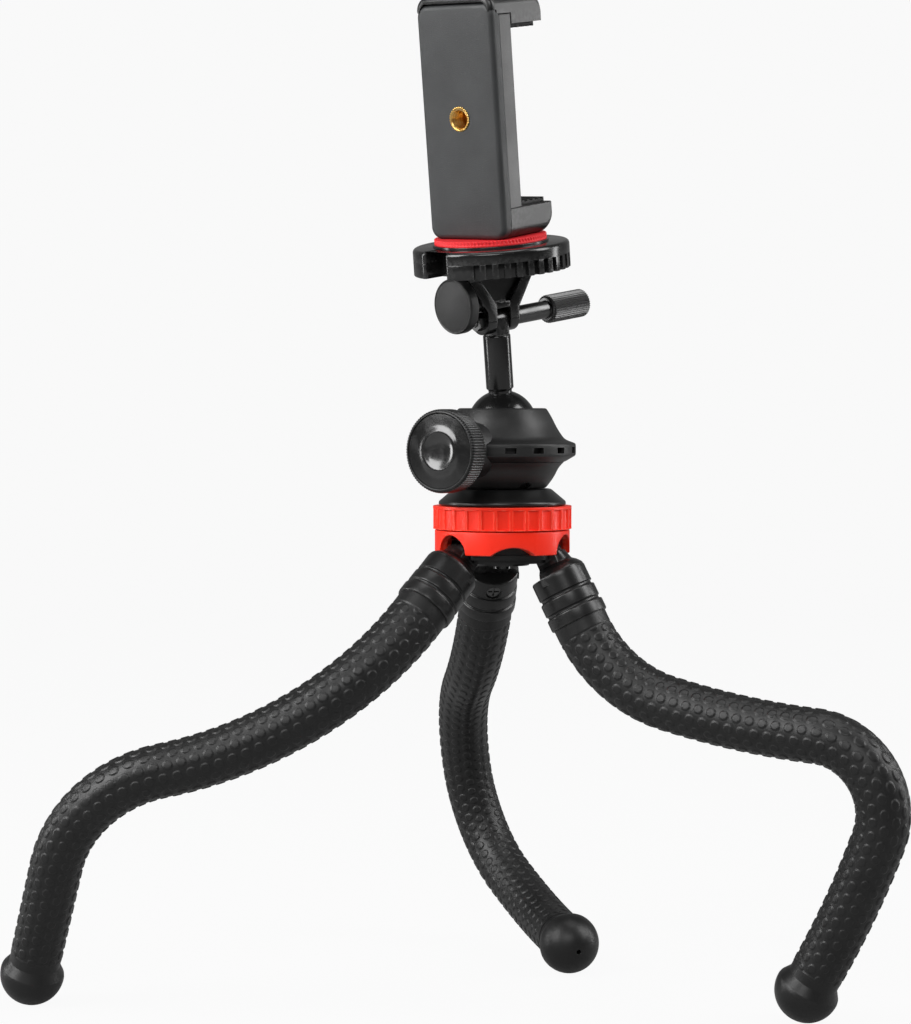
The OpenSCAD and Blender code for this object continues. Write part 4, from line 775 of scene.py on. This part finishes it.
def lock_knob():
    """Lock knob of the ball: a knurled rim and a neck carried round its screw, and a domed cap with a raised
    ring round a dished middle."""
    teeth, depth, neck, rim, shoulder = 90, 0.4, 6.0, 13.6, 12.9
    back, seat, mouth, tooth_start, tooth_fade = 28.9, 35.5, 12.2, 12.7, 0.6
    cap, cap_level, crown = 12.1, 36.25, 0.5
    ring, ring_radius, ring_width, dish, dish_radius = 0.3, 6.2, 1.3, 0.6, 4.6

    def knurl(radius, height, angle):
        """Straight knurl: a rounded tooth repeated round the rim."""
        tooth = np.abs(np.cos(angle * teeth / 2))
        return -depth * (1 - tooth) * eased((radius - tooth_start) / tooth_fade)

    corners = [(0, KNOB_BACK), (neck, KNOB_BACK, 0.3), (neck, back, 0.4), (shoulder, back, 0.3),
               (rim, back + 0.7, 0.5), (rim, KNOB_FRONT - 0.6, 0.5), (shoulder, KNOB_FRONT, 0.3),
               (mouth + 0.1, KNOB_FRONT, 0.2), (mouth, seat, 0.2), (0, seat)]
    grip = turned(rounded(corners, 5), teeth * 6, KNOB, knurl)
    piece("knurled_lock_knob", [grip], BLACK_PLASTIC, "lock_knob", ["lock_knob"], sharp=50)
    reach = np.linspace(0, cap, 70)
    dome = cap_level + crown * np.cos(reach / cap * math.pi / 2)
    dome = dome + ring * np.exp(-((reach - ring_radius) / ring_width) ** 2)
    dome -= dish * np.exp(-(reach / dish_radius) ** 3)
    rows = np.column_stack((reach, dome))
    wall, under = cap + 0.05, seat + 0.1
    edge = rounded([rows[-1], (wall, cap_level - 0.15, 0.3), (wall, under, 0.1), (0, under)], 4)
    shell = turned(np.concatenate((rows, edge[1:])), 128, KNOB)
    piece("domed_cap", [shell], CAP_BLACK, "lock_knob", ["lock_knob_cap"])


def ball_stem():
    """Ball, neck and stem carried round the stem's axis, and the tongue of the tilt hinge."""
    neck, stem, top, tongue_radius, tongue_half = 3.9, 4.55, 30.4, 3.4, 2.9
    start = math.degrees(math.acos(neck / BALL_RADIUS))
    ball = arc((0, 0), BALL_RADIUS, -90, start, 64)
    rise = ball[-1, 1]
    shaft = rounded([ball[-1], (neck, rise + 1.0, 0.3), (stem, rise + 1.5, 0.3), (stem, top, 0.6), (0, top)])
    root = [(-tongue_radius, top - 1.0), (tongue_radius, top - 1.0)]
    tongue = np.concatenate((arc((0, HINGE_REACH), tongue_radius, 0, 180, 24), root))
    parts = [turned(np.concatenate((ball, shaft[1:])), 96, HEAD),
             slab(tongue, -tongue_half, tongue_half, HEAD @ ALONG, 0.3)]
    piece("ball_and_stem", parts, GLOSS_BLACK, "ball_stem", ["ball_stem"])


def yoke():
    """V-shaped fork: a web slotted for the tongue, ribs on both its faces, round ears and the knob's boss."""
    ear, slot, spread, low = 7.0, 3.0, 14.4, HINGE_REACH
    slot_top, ear_top, rib_foot, rib_width, shoulder = low + 4, low + 3.4, low + 5.5, 4.8, YOKE_TOP - 1.8
    web_half, face, rib, lip, web_top = 2.8, 4.5, 2.1, YOKE_TOP - 2.0, low + 6.2
    barrel_radius, boss_radius, boss_start, boss_end = 4.45, 3.2, 5.0, 12.4
    web = [(-slot, low), (-slot, slot_top), (slot, slot_top), (slot, low), (ear, low), (ear, ear_top),
           (spread, shoulder), (spread, YOKE_TOP), (-spread, YOKE_TOP), (-spread, shoulder), (-ear, ear_top),
           (-ear, low)]
    place = HEAD @ ACROSS
    parts = [slab(web, -web_half, web_half, place, 0.25)]
    right = [(slot, low), (ear, low), (ear, ear_top), (spread, shoulder), (spread - rib_width, shoulder),
             (slot, rib_foot)]
    left = [(-a, b) for a, b in right[::-1]]
    top = [(-spread, lip), (spread, lip), (spread, YOKE_TOP), (-spread, YOKE_TOP)]
    foot_web = [(-slot, slot_top), (slot, slot_top), (slot, web_top), (-slot, web_top)]
    for outline in (right, left, top, foot_web):
        parts.append(slab(outline, -face, rib - face, place, 0.35))
        parts.append(slab(outline, face - rib, face, place, 0.35))
    for side in (-1, 1):
        start, end = sorted((side * slot, side * ear))
        barrel = rounded([(0, start), (barrel_radius, start, 0.4), (barrel_radius, end, 0.4), (0, end)])
        parts.append(turned(barrel, 64, HEAD @ shift(0, 0, low) @ lean(90)))
    boss = rounded([(0, boss_start), (boss_radius, boss_start, 0.2), (boss_radius, boss_end, 0.4),
                    (0, boss_end)])
    parts.append(turned(boss, 64, HEAD @ shift(0, 0, KNOB_LEVEL) @ lean(90)))
    piece("folding_yoke", parts, GLOSS_BLACK, "yoke", ["yoke"])


def thumbscrew():
    """Thumbscrew of the tilt hinge: shank, collar and a ridged grip, a profile carried round the hinge."""
    ridges, depth, ridge_start, ridge_fade, first, last = 36, 0.4, 4.2, 0.4, 22.9, 39.9
    tip, screw, shoulder, shank, grip_radius, dimple = -9.6, 1.5, 7.3, 3.0, 4.75, 0.3

    def ridge(radius, height, angle):
        """Straight ridges round the grip."""
        return -depth * (0.5 - 0.5 * np.cos(angle * ridges)) * eased((radius - ridge_start) / ridge_fade)

    grip = np.column_stack((np.full(12, grip_radius), np.linspace(first + 1.4, last - 1.1, 12)))
    start = rounded([(0, tip), (screw, tip, 0.3), (screw, shoulder, 0.1), (shank, shoulder, 0.3),
                     (shank, first, 0.2), (3.9, first, 0.3), (grip_radius, first + 0.9, 0.4), grip[0]])
    end = rounded([grip[-1], (grip_radius, last, 0.9), (3.6, last, 0.3), (3.3, last - dimple, 0.3),
                   (0, last - dimple)])
    profile = np.concatenate((start[:-1], grip, end[1:]))
    place = HEAD @ shift(0, 0, HINGE_REACH) @ lean(-90)
    whole = turned(profile, ridges * 10, place, ridge)
    piece("ridged_thumbscrew", [whole], DARK_METAL, "thumbscrew", ["thumbscrew"], sharp=40)


def plate_knob():
    """Round knob on the yoke: a shallow domed face with a thin rim, carried round its screw."""
    tip, point, taper, screw, stop, neck = 2.1, 0.6, 3.7, 2.0, 12.7, 3.2
    back, rim, front, lip_radius, lip_level = 14.7, 9.1, 18.3, 8.4, 18.65
    face_radius, face_level, crown = 8.3, 18.6, 0.6
    corners = [(0, tip), (point, tip), (screw, taper), (screw, stop, 0.1), (neck, stop, 0.3), (neck, back, 0.2),
               (rim - 0.6, back, 0.4), (rim, back + 0.7, 0.4), (rim, front, 0.4),
               (rim - 0.4, front + 0.5, 0.25), (lip_radius, lip_level)]
    reach = np.linspace(face_radius, 0.0, 16)
    face = np.column_stack((reach, face_level + crown * (1 - (reach / face_radius) ** 2)))
    profile = np.concatenate((rounded(corners), face))
    knob = turned(profile, 112, HEAD @ shift(0, 0, KNOB_LEVEL) @ lean(90))
    piece("round_plate_knob", [knob], SATIN_BLACK, "plate_knob", ["plate_knob"])


def rim_outline(slotted):
    """Outline of the platform: a circle with a rounded notch, and square slots past its plain lobes."""
    count, plain, width, depth = 40, 4, 2.0, 1.3
    notch, bottom, corner, curl = 4.8, PLATFORM_RADIUS - 8.0, 1.6, 8.0
    edge = math.asin(notch / PLATFORM_RADIUS)
    lobe = math.degrees(edge) + curl
    first = arc((0, 0), PLATFORM_RADIUS, lobe, lobe, 1)[0]
    mouth = rounded([(bottom, notch), (PLATFORM_RADIUS * math.cos(edge), notch, corner), first], 6)[:-1]
    lines = [mouth[::-1] * (1, -1), mouth]
    half = math.degrees(math.asin(width / 2 / PLATFORM_RADIUS))
    for k in range(plain, count - plain + 1) if slotted else ():
        middle = 360 / count * k
        lines.append(arc((0, 0), PLATFORM_RADIUS, lobe, middle - half, 12 if k == plain else 4))
        lines.append(arc((0, 0), PLATFORM_RADIUS - depth, middle - half, middle + half, 2))
        lobe = middle + half
    last = 360 - math.degrees(edge) - curl
    lines.append(arc((0, 0), PLATFORM_RADIUS, lobe, last, 12 if slotted else 260))
    return np.concatenate(lines)


def platform():
    """Platform disc: a slotted lower prism, a plain upper one with a round edge, the step under the pad and
    the pin that it turns on."""
    shoulder, soft = PLATFORM_BOTTOM + 4.8, 1.3
    step_radius, pin_radius, pin_end, sunk = 19.1, 2.5, 39.9, 1
    plain = rim_outline(False)
    rows = [np.column_stack((plain, np.full(len(plain), shoulder)))]
    for angle in np.radians(np.linspace(0, 90, 6)):
        level = PLATFORM_TOP - soft * (1 - math.sin(angle))
        rows.append(np.column_stack((inset(plain, soft * (1 - math.cos(angle))), np.full(len(plain), level))))
    base, pin_top = PLATFORM_TOP - sunk, PLATFORM_BOTTOM + sunk
    step = rounded([(0, base), (step_radius, base), (step_radius, PAD_BOTTOM, 0.2), (0, PAD_BOTTOM)])
    pin = rounded([(0, pin_end), (pin_radius, pin_end, 0.3), (pin_radius, pin_top), (0, pin_top)])
    parts = [slab(rim_outline(True), PLATFORM_BOTTOM, shoulder, HEAD, 0.12, 3),
             surface(np.stack(rows), HEAD, capped=True), turned(step, 128, HEAD), turned(pin, 48, HEAD)]
    piece("platform_disc", parts, GLOSS_BLACK, "platform", ["platform"])


def platform_pad():
    """Red rubber pad: a disc carried round the stem's axis, with slanting ridges on its rounded edge."""
    ridges, depth, slant, bore = 96, 0.3, 2.0, 3.2

    def serration(radius, height, angle):
        """Slanting teeth on the upper edge."""
        tooth = 0.5 - 0.5 * np.cos(ridges * angle + slant * height)
        outer = eased((radius - PAD_RADIUS + 0.5) / 0.4)
        return -depth * tooth * outer * eased((height - PAD_BOTTOM - 0.5) / 0.3)

    wall = np.column_stack((np.full(8, PAD_RADIUS), np.linspace(PAD_BOTTOM + 0.3, PAD_TOP - 0.4, 8)))
    low = rounded([(bore, PAD_BOTTOM), (PAD_RADIUS, PAD_BOTTOM, 0.3), wall[0]])
    high = rounded([wall[-1], (PAD_RADIUS, PAD_TOP, 0.5), (PAD_RADIUS - 2, PAD_TOP), (bore, PAD_TOP)])
    profile = np.concatenate((low[:-1], wall, high[1:]))
    pad = turned(profile, ridges * 8, HEAD, serration, loop=True)
    piece("red_pad", [pad], RED_RUBBER, "platform", ["platform_pad"])


shroud()
lock_ring()
pan_base()
upper_housing()
lower_housing()
lock_knob()
ball_stem()
yoke()
thumbscrew()
plate_knob()
platform()
platform_pad()


# Phone clamp
def back_outline(bottom, top, corner, count=12):
    """Closed outline of the clamp seen from behind: an upright with rounded corners, from its lower right."""
    low, high, right = bottom + corner, top - corner, CLAMP_HALF - corner
    sides = []
    for y, z, start in ((right, low, -90), (right, high, 0), (-right, high, 90), (-right, low, 180)):
        sides.append(arc((y, z), corner, start, start + 90, count))
    sides.append(sides[0][:1])
    share = np.linspace(0, 1, 32)[1:-1, None]
    lines = [side[-1] + (after[0] - side[-1]) * share for side, after in zip(sides, sides[1:])]
    return np.concatenate([part for both in zip(sides, lines) for part in both])


def clamp_cover():
    """Back shell: a tray of rounded outline with soft edges, pierced for the threaded insert; its wall is cut
    back over the body, where the sliding jaw stands in front of it."""
    soft, lip, wall = 1.8, 0.15, 1.9
    outline = back_outline(0.0, COVER_TOP, CLAMP_CORNER)
    seam = np.where(outline[:, 1] > BODY_TOP, COVER_FRONT, CLAMP_SEAM)
    around = np.arctan2(outline[:, 1] - INSERT_LEVEL, outline[:, 0])
    hole = INSERT_RADIUS * np.stack((np.cos(around), np.sin(around)), axis=-1) + (0, INSERT_LEVEL)
    rows = [(hole, COVER_FRONT), (hole, CLAMP_BACK)]
    face = inset(outline, soft)
    rows += [(hole + (face - hole) * share, CLAMP_BACK) for share in (0.33, 0.66)]
    for angle in np.radians(np.linspace(0, 90, 8)):
        rows.append((inset(outline, soft * (1 - math.sin(angle))), CLAMP_BACK - soft * (1 - math.cos(angle))))
    rows += [(outline, seam + lip), (inset(outline, lip), seam), (inset(outline, wall), seam),
             (inset(outline, wall), COVER_FRONT)]
    points = np.stack([np.column_stack((row, np.full(len(row), 1.0) * level)) for row, level in rows])
    shell = surface(points, CLAMP @ ALONG, loop=True)
    piece("clamp_back_shell", [shell], GREY_PLASTIC, "platform", ["clamp_cover"])


def clamp_body():
    """Front of the clamp: a grey upright channel carried up from the lower jaw."""
    wall = 2.0
    side, inner = CLAMP_HALF - wall, SLAB_FRONT + wall
    channel = rounded([
        (CLAMP_SEAM, -side), (inner, -side), (inner, side), (CLAMP_SEAM, side), (CLAMP_SEAM, CLAMP_HALF, 0.2),
        (SLAB_FRONT, CLAMP_HALF, 0.6), (SLAB_FRONT, -CLAMP_HALF, 0.6), (CLAMP_SEAM, -CLAMP_HALF, 0.2)],
        4, closed=True)[::-1]
    upright = slab(channel, LOWER_JAW, BODY_TOP, CLAMP, 0.3)
    piece("clamp_upright", [upright], PALE_GREY, "platform", ["clamp_body"])


def lower_jaw():
    """Lower jaw: a section across it, round below and square above, carried along x to a rounded tip."""
    corner, tip, tip_share, edge, blunt = 4.0, 3.6, 0.95, 0.5, 0.25
    across = np.concatenate((arc((CLAMP_HALF - corner, corner), corner, -90, 0, 9),
                             arc((CLAMP_HALF - edge, LOWER_JAW - edge), edge, 0, 90, 4),
                             arc((edge - CLAMP_HALF, LOWER_JAW - edge), edge, 90, 180, 4),
                             arc((corner - CLAMP_HALF, corner), corner, 180, 270, 9)))
    bow = np.radians(np.linspace(0, 90, 10))
    along = np.concatenate(([JAW_TIP], JAW_TIP + blunt + (tip - blunt) * (1 - np.cos(bow)), [CLAMP_SEAM]))
    lift = np.concatenate(([tip * tip_share], tip * (1 - np.sin(bow)), [0.0]))
    pull = np.concatenate(([edge], np.zeros(len(bow)), [0.0]))
    rows = []
    for x, raised, drawn in zip(along, lift, pull):
        row = inset(across, drawn) if drawn else across
        level = raised + row[:, 1] * (LOWER_JAW - raised) / LOWER_JAW
        rows.append(np.column_stack((row[:, 0], level, np.full(len(row), x))))
    jaw = surface(np.stack(rows), CLAMP @ ALONG, capped=True)
    piece("clamp_lower_jaw", [jaw], BLACK_PLASTIC, "platform")


def clamp_jaw():
    """Sliding upper jaw: a hooked cap with rounded ends, a section across it carried along x, that arches
    over the top of the back shell."""
    corner, front, back, step = 4.0, 3.0, 1.6, 0.02
    across = np.sin(np.linspace(-math.pi / 2, math.pi / 2, 61))
    nose = np.radians(np.linspace(0, 90, 10))
    slab_edge, shell_edge = SLAB_FRONT - JAW_GAP, COVER_FRONT - JAW_GAP
    steps = (slab_edge, slab_edge + step, shell_edge, shell_edge + step)
    x = np.concatenate((JAW_TIP + front * (1 - np.cos(nose)), steps, CLAMP_BACK - back * (1 - np.sin(nose))))
    lowered, drawn = np.zeros(len(x)), np.zeros(len(x))
    lowered[:len(nose)] = front * (1 - np.sin(nose))
    lowered[-len(nose):] = drawn[-len(nose):] = back * (1 - np.cos(nose))
    rows = []
    for spot, fall, pull in zip(x, lowered, drawn):
        side = (CLAMP_HALF - pull) * across
        beyond = np.clip(np.abs(side) - CLAMP_HALF + pull + corner, 0, corner)
        top = CLAMP_HEIGHT - fall - corner + np.sqrt(corner ** 2 - beyond ** 2)
        beyond = np.clip(np.abs(side) - CLAMP_HALF + CLAMP_CORNER, 0, CLAMP_CORNER)
        arch = COVER_TOP - CLAMP_CORNER + np.sqrt((CLAMP_CORNER + JAW_GAP) ** 2 - beyond ** 2)
        flat = JAW_UNDER if spot <= slab_edge else BODY_TOP + JAW_GAP
        low = np.minimum(arch, top - step) if spot > shell_edge else np.full(len(side), flat)
        outline = np.concatenate((np.column_stack((side, top)), np.column_stack((side, low))[::-1]))
        rows.append(np.column_stack((outline, np.full(len(outline), spot))))
    cap = surface(np.stack(rows), CLAMP @ ALONG, capped=True)
    piece("clamp_jaw_cap", [cap], BLACK_PLASTIC, "clamp_jaw", ["clamp_jaw"])


def jaw_rails():
    """Two rails of the sliding jaw that run in the clamp, and their ears over the springs: square prisms."""
    rail = (4.6, 8.8, 6.1, 9.5, 14.35, BODY_TOP + JAW_GAP + 0.5, 0.3)
    ear = (5.3, 8.1, 9.4, 13.4, 58.0, 60.0, 0.2)
    parts = []
    for sign in (-1, 1):
        for front, back, inner, outer, low, high, edge in (rail, ear):
            near, far = sorted((sign * inner, sign * outer))
            box = [(front, near), (back, near), (back, far), (front, far)]
            parts.append(slab(box, low, high, CLAMP, edge))
    piece("clamp_rails", parts, GREY_PLASTIC, "clamp_jaw")


def jaw_pad(name, body, level, sign, replaced):
    """Ribbed rubber pad: a wavy side outline carried across the jaw."""
    ribs, tall, low, half, trough, flank = 6, 1.5, 1.0, 13.5, 0.35, 0.3
    start, end = JAW_TIP + 1.6, SLAB_FRONT - 0.6
    x = np.linspace(start, end, 121)
    wave = 0.5 + 0.5 * np.cos((x - start) / (end - start) * TURN * (ribs - 1))
    height = low + (tall - low) * eased((wave - trough) / flank)
    ribbed = np.column_stack((x, level + sign * height))[::-1]
    outline = np.concatenate((ribbed, [(start, level), (end, level)]))
    outline = outline if sign > 0 else outline[::-1]
    piece(name, [slab(outline, -half, half, CLAMP @ ACROSS, 0.15, 3)], PAD_RUBBER, body, [replaced])


def threaded_insert():
    """Brass insert: a knurled ring with a helical thread in its bore, carried round the insert's axis."""
    pitch, thread, crest, bore, floor = 1.27, 0.45, 0.6, 3.175, 0.4
    teeth, knurl, knurl_start = 30, 0.3, 3.8
    inner, outer, hair = CLAMP_BACK - 6.0, CLAMP_BACK + 0.3, 0.01

    def cut(radius, height, angle):
        """Helical ridge in the bore and straight knurl on the outside."""
        turn = height / pitch - angle / TURN
        ridge = 2 * np.abs(turn - np.round(turn))
        outside = -knurl * (0.5 - 0.5 * np.cos(angle * teeth)) * (radius > knurl_start)
        return np.where(radius < bore + hair, thread * (ridge - crest) * (radius > bore - hair), outside)

    bore_rows = np.column_stack((np.full(50, bore), np.linspace(outer - 0.35, inner + floor, 50)))
    corners = [(0, inner), (INSERT_RADIUS, inner), (INSERT_RADIUS, outer, 0.25), (bore + 0.3, outer, 0.2),
               (bore + 0.02, outer - 0.3)]
    profile = np.concatenate((rounded(corners), bore_rows, [(0, inner + floor)]))
    insert = turned(profile, teeth * 8, CLAMP @ shift(0, 0, INSERT_LEVEL) @ lean(90), cut)
    piece("brass_insert", [insert], BRASS, "platform", ["clamp_back_insert"])


def springs():
    """Two coil springs: a circle carried along a helix, stretched between the clamp and its sliding jaw."""
    turns, coil, wire, low, high, x, y = 9, 1.4, 0.35, 10.35, 57.65, 6.7, 11.5
    angle = np.linspace(0, TURN * turns, turns * 24 + 1)[:, None]
    section = np.linspace(0, TURN, 8, endpoint=False)
    reach = coil + wire * np.cos(section)[None, :]
    level = np.linspace(low, high, len(angle))[:, None] + wire * np.sin(section)[None, :]
    parts = []
    for sign in (-1, 1):
        helix = np.stack((x + reach * np.cos(angle), sign * y + reach * np.sin(angle), level), axis=-1)
        parts.append(surface(helix, CLAMP, capped=True))
    made = piece("coil_springs", parts, STEEL, None, ["clamp_springs"], sharp=60)
    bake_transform(made)


clamp_cover()
clamp_body()
lower_jaw()
clamp_jaw()
jaw_rails()
jaw_pad("lower_jaw_pad", "platform", LOWER_JAW, 1, "clamp_lower_pad")
jaw_pad("upper_jaw_pad", "clamp_jaw", JAW_UNDER, -1, "clamp_upper_pad")
threaded_insert()
springs()

# Finishes of the solids that show as they are
SOLID_FINISHES = {
    "hub": BLACK_PLASTIC, "hub_cover": BLACK_PLASTIC, "ball_cup": PALE_GREY, "clamp_base_insert": BRASS,
    "thumbscrew_nut": DARK_METAL, "leg_pins": DARK_METAL, "hub_screw": DARK_METAL,
    "housing_screws": DARK_METAL, "pan_bolt": STEEL, "lock_screw": STEEL, "camera_screw": STEEL,
    "clamp_screws": STEEL,
}
for leg_name in LEG_NAMES:
    SOLID_FINISHES[f"{leg_name}_screw"] = DARK_METAL
    for number in range(1, 5):
        SOLID_FINISHES[f"{leg_name}_core_{number}"] = WIRE
for solid, solid_finish in SOLID_FINISHES.items():
    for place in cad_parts[solid].material_slots:
        place.material = solid_finish

# Stage, in metres: a pale sweep, soft lights and the camera
BACKDROP = 0.955
AMBIENT = 0.08
MIDDLE = (0.0, 0.0, 0.15)


def sweep():
    """Floor that curves up into a wall: a profile carried along x; the camera sees it nearly white, and it
    stays darker in reflections and for the light that it throws back."""
    width, near, far, radius, tall = 4.0, -2.2, 1.6, 0.8, 2.6
    paint_level, glow_share, mirrored = 0.3, 0.94, 0.15
    bow = np.radians(np.linspace(-90, 0, 17))
    bend = np.stack((far + radius * np.cos(bow), radius + radius * np.sin(bow)), axis=-1)
    profile = np.concatenate(([(near, 0)], bend, [(far + radius, tall)]))
    points = np.stack([np.column_stack((np.full(len(profile), x), profile)) for x in (-width, width)])
    flat, quads = surface(points, ring=False)
    mesh = bpy.data.meshes.new("sweep")
    mesh.from_pydata(flat.tolist(), [], quads)
    mesh.polygons.foreach_set("use_smooth", np.ones(len(mesh.polygons), bool))
    made = bpy.data.objects.new("sweep", mesh)
    scene.collection.objects.link(made)
    material = bpy.data.materials.new("pale_sweep")
    material.use_nodes = True
    tree = material.node_tree
    tree.nodes.clear()
    paint = node(tree, "ShaderNodeBsdfDiffuse", {"Color": shade(paint_level)})
    glow = node(tree, "ShaderNodeEmission", {"Color": shade(1.0), "Strength": 1.0})
    path = node(tree, "ShaderNodeLightPath").outputs
    seen = math_node(tree, "MAXIMUM", path["Is Camera Ray"], path["Is Transmission Ray"])
    seen = math_node(tree, "MAXIMUM", seen, math_node(tree, "MULTIPLY", path["Is Glossy Ray"], mirrored))
    share = math_node(tree, "MULTIPLY", seen, glow_share)
    both = node(tree, "ShaderNodeMixShader", {0: share, 1: paint.outputs[0], 2: glow.outputs[0]})
    node(tree, "ShaderNodeOutputMaterial", {"Surface": both.outputs[0]})
    mesh.materials.append(material)


def soft_light(name, spot, size, power):
    """Soft box of a width and a height, in metres, that points at the middle of the tripod."""
    lamp = bpy.data.lights.new(name, "AREA")
    lamp.shape = "RECTANGLE"
    lamp.size, lamp.size_y = size
    lamp.energy = power
    made = bpy.data.objects.new(name, lamp)
    scene.collection.objects.link(made)
    reach = np.asarray(MIDDLE) - np.asarray(spot)
    tipped = math.acos(-reach[2] / np.linalg.norm(reach))
    made.location = spot
    made.rotation_euler = (tipped, 0, math.atan2(reach[1], reach[0]) - math.pi / 2)
    made.visible_camera = False


def world_light():
    """Even dim light from all round, as pale as the sweep where the camera sees it."""
    world = bpy.data.worlds.new("studio")
    scene.world = world
    world.use_nodes = True
    tree = world.node_tree
    back = tree.nodes["Background"]
    back.inputs["Color"].default_value = shade(1.0)
    path = node(tree, "ShaderNodeLightPath").outputs
    seen = math_node(tree, "MAXIMUM", path["Is Camera Ray"], path["Is Transmission Ray"])
    tree.links.new(mapped(tree, seen, 0.0, 1.0, AMBIENT, BACKDROP), back.inputs["Strength"])


def camera():
    """Camera of the photograph: a long lens a little above the middle of the tripod, tipped slightly down."""
    picture_height, focal, tipped = 1024, 2700, 2.4
    eye = (-15.6, -900.0, 200.0)
    lens = bpy.data.cameras.new("camera")
    lens.sensor_fit = "AUTO"
    lens.sensor_width = 36.0
    lens.lens = focal / picture_height * lens.sensor_width
    lens.clip_start = 0.01
    made = bpy.data.objects.new("camera", lens)
    scene.collection.objects.link(made)
    made.location = [value * MM for value in eye]
    made.rotation_euler = (math.radians(90 - tipped), 0, 0)
    scene.camera = made


sweep()
soft_light("left_box", (-1.0, -0.55, 0.8), (0.6, 0.95), 18.0)
soft_light("right_box", (1.05, -0.2, 0.9), (0.45, 0.9), 10.0)
soft_light("top_box", (0.0, -0.1, 1.4), (0.9, 0.7), 6.0)
soft_light("front_box", (-0.2, -1.5, 1.0), (0.9, 0.5), 10.0)
soft_light("left_strip", (-1.1, 0.15, 0.3), (0.14, 0.9), 4.0)
soft_light("right_strip", (1.1, 0.3, 0.3), (0.14, 0.9), 4.0)
world_light()
camera()
scene.view_settings.view_transform = "Standard"
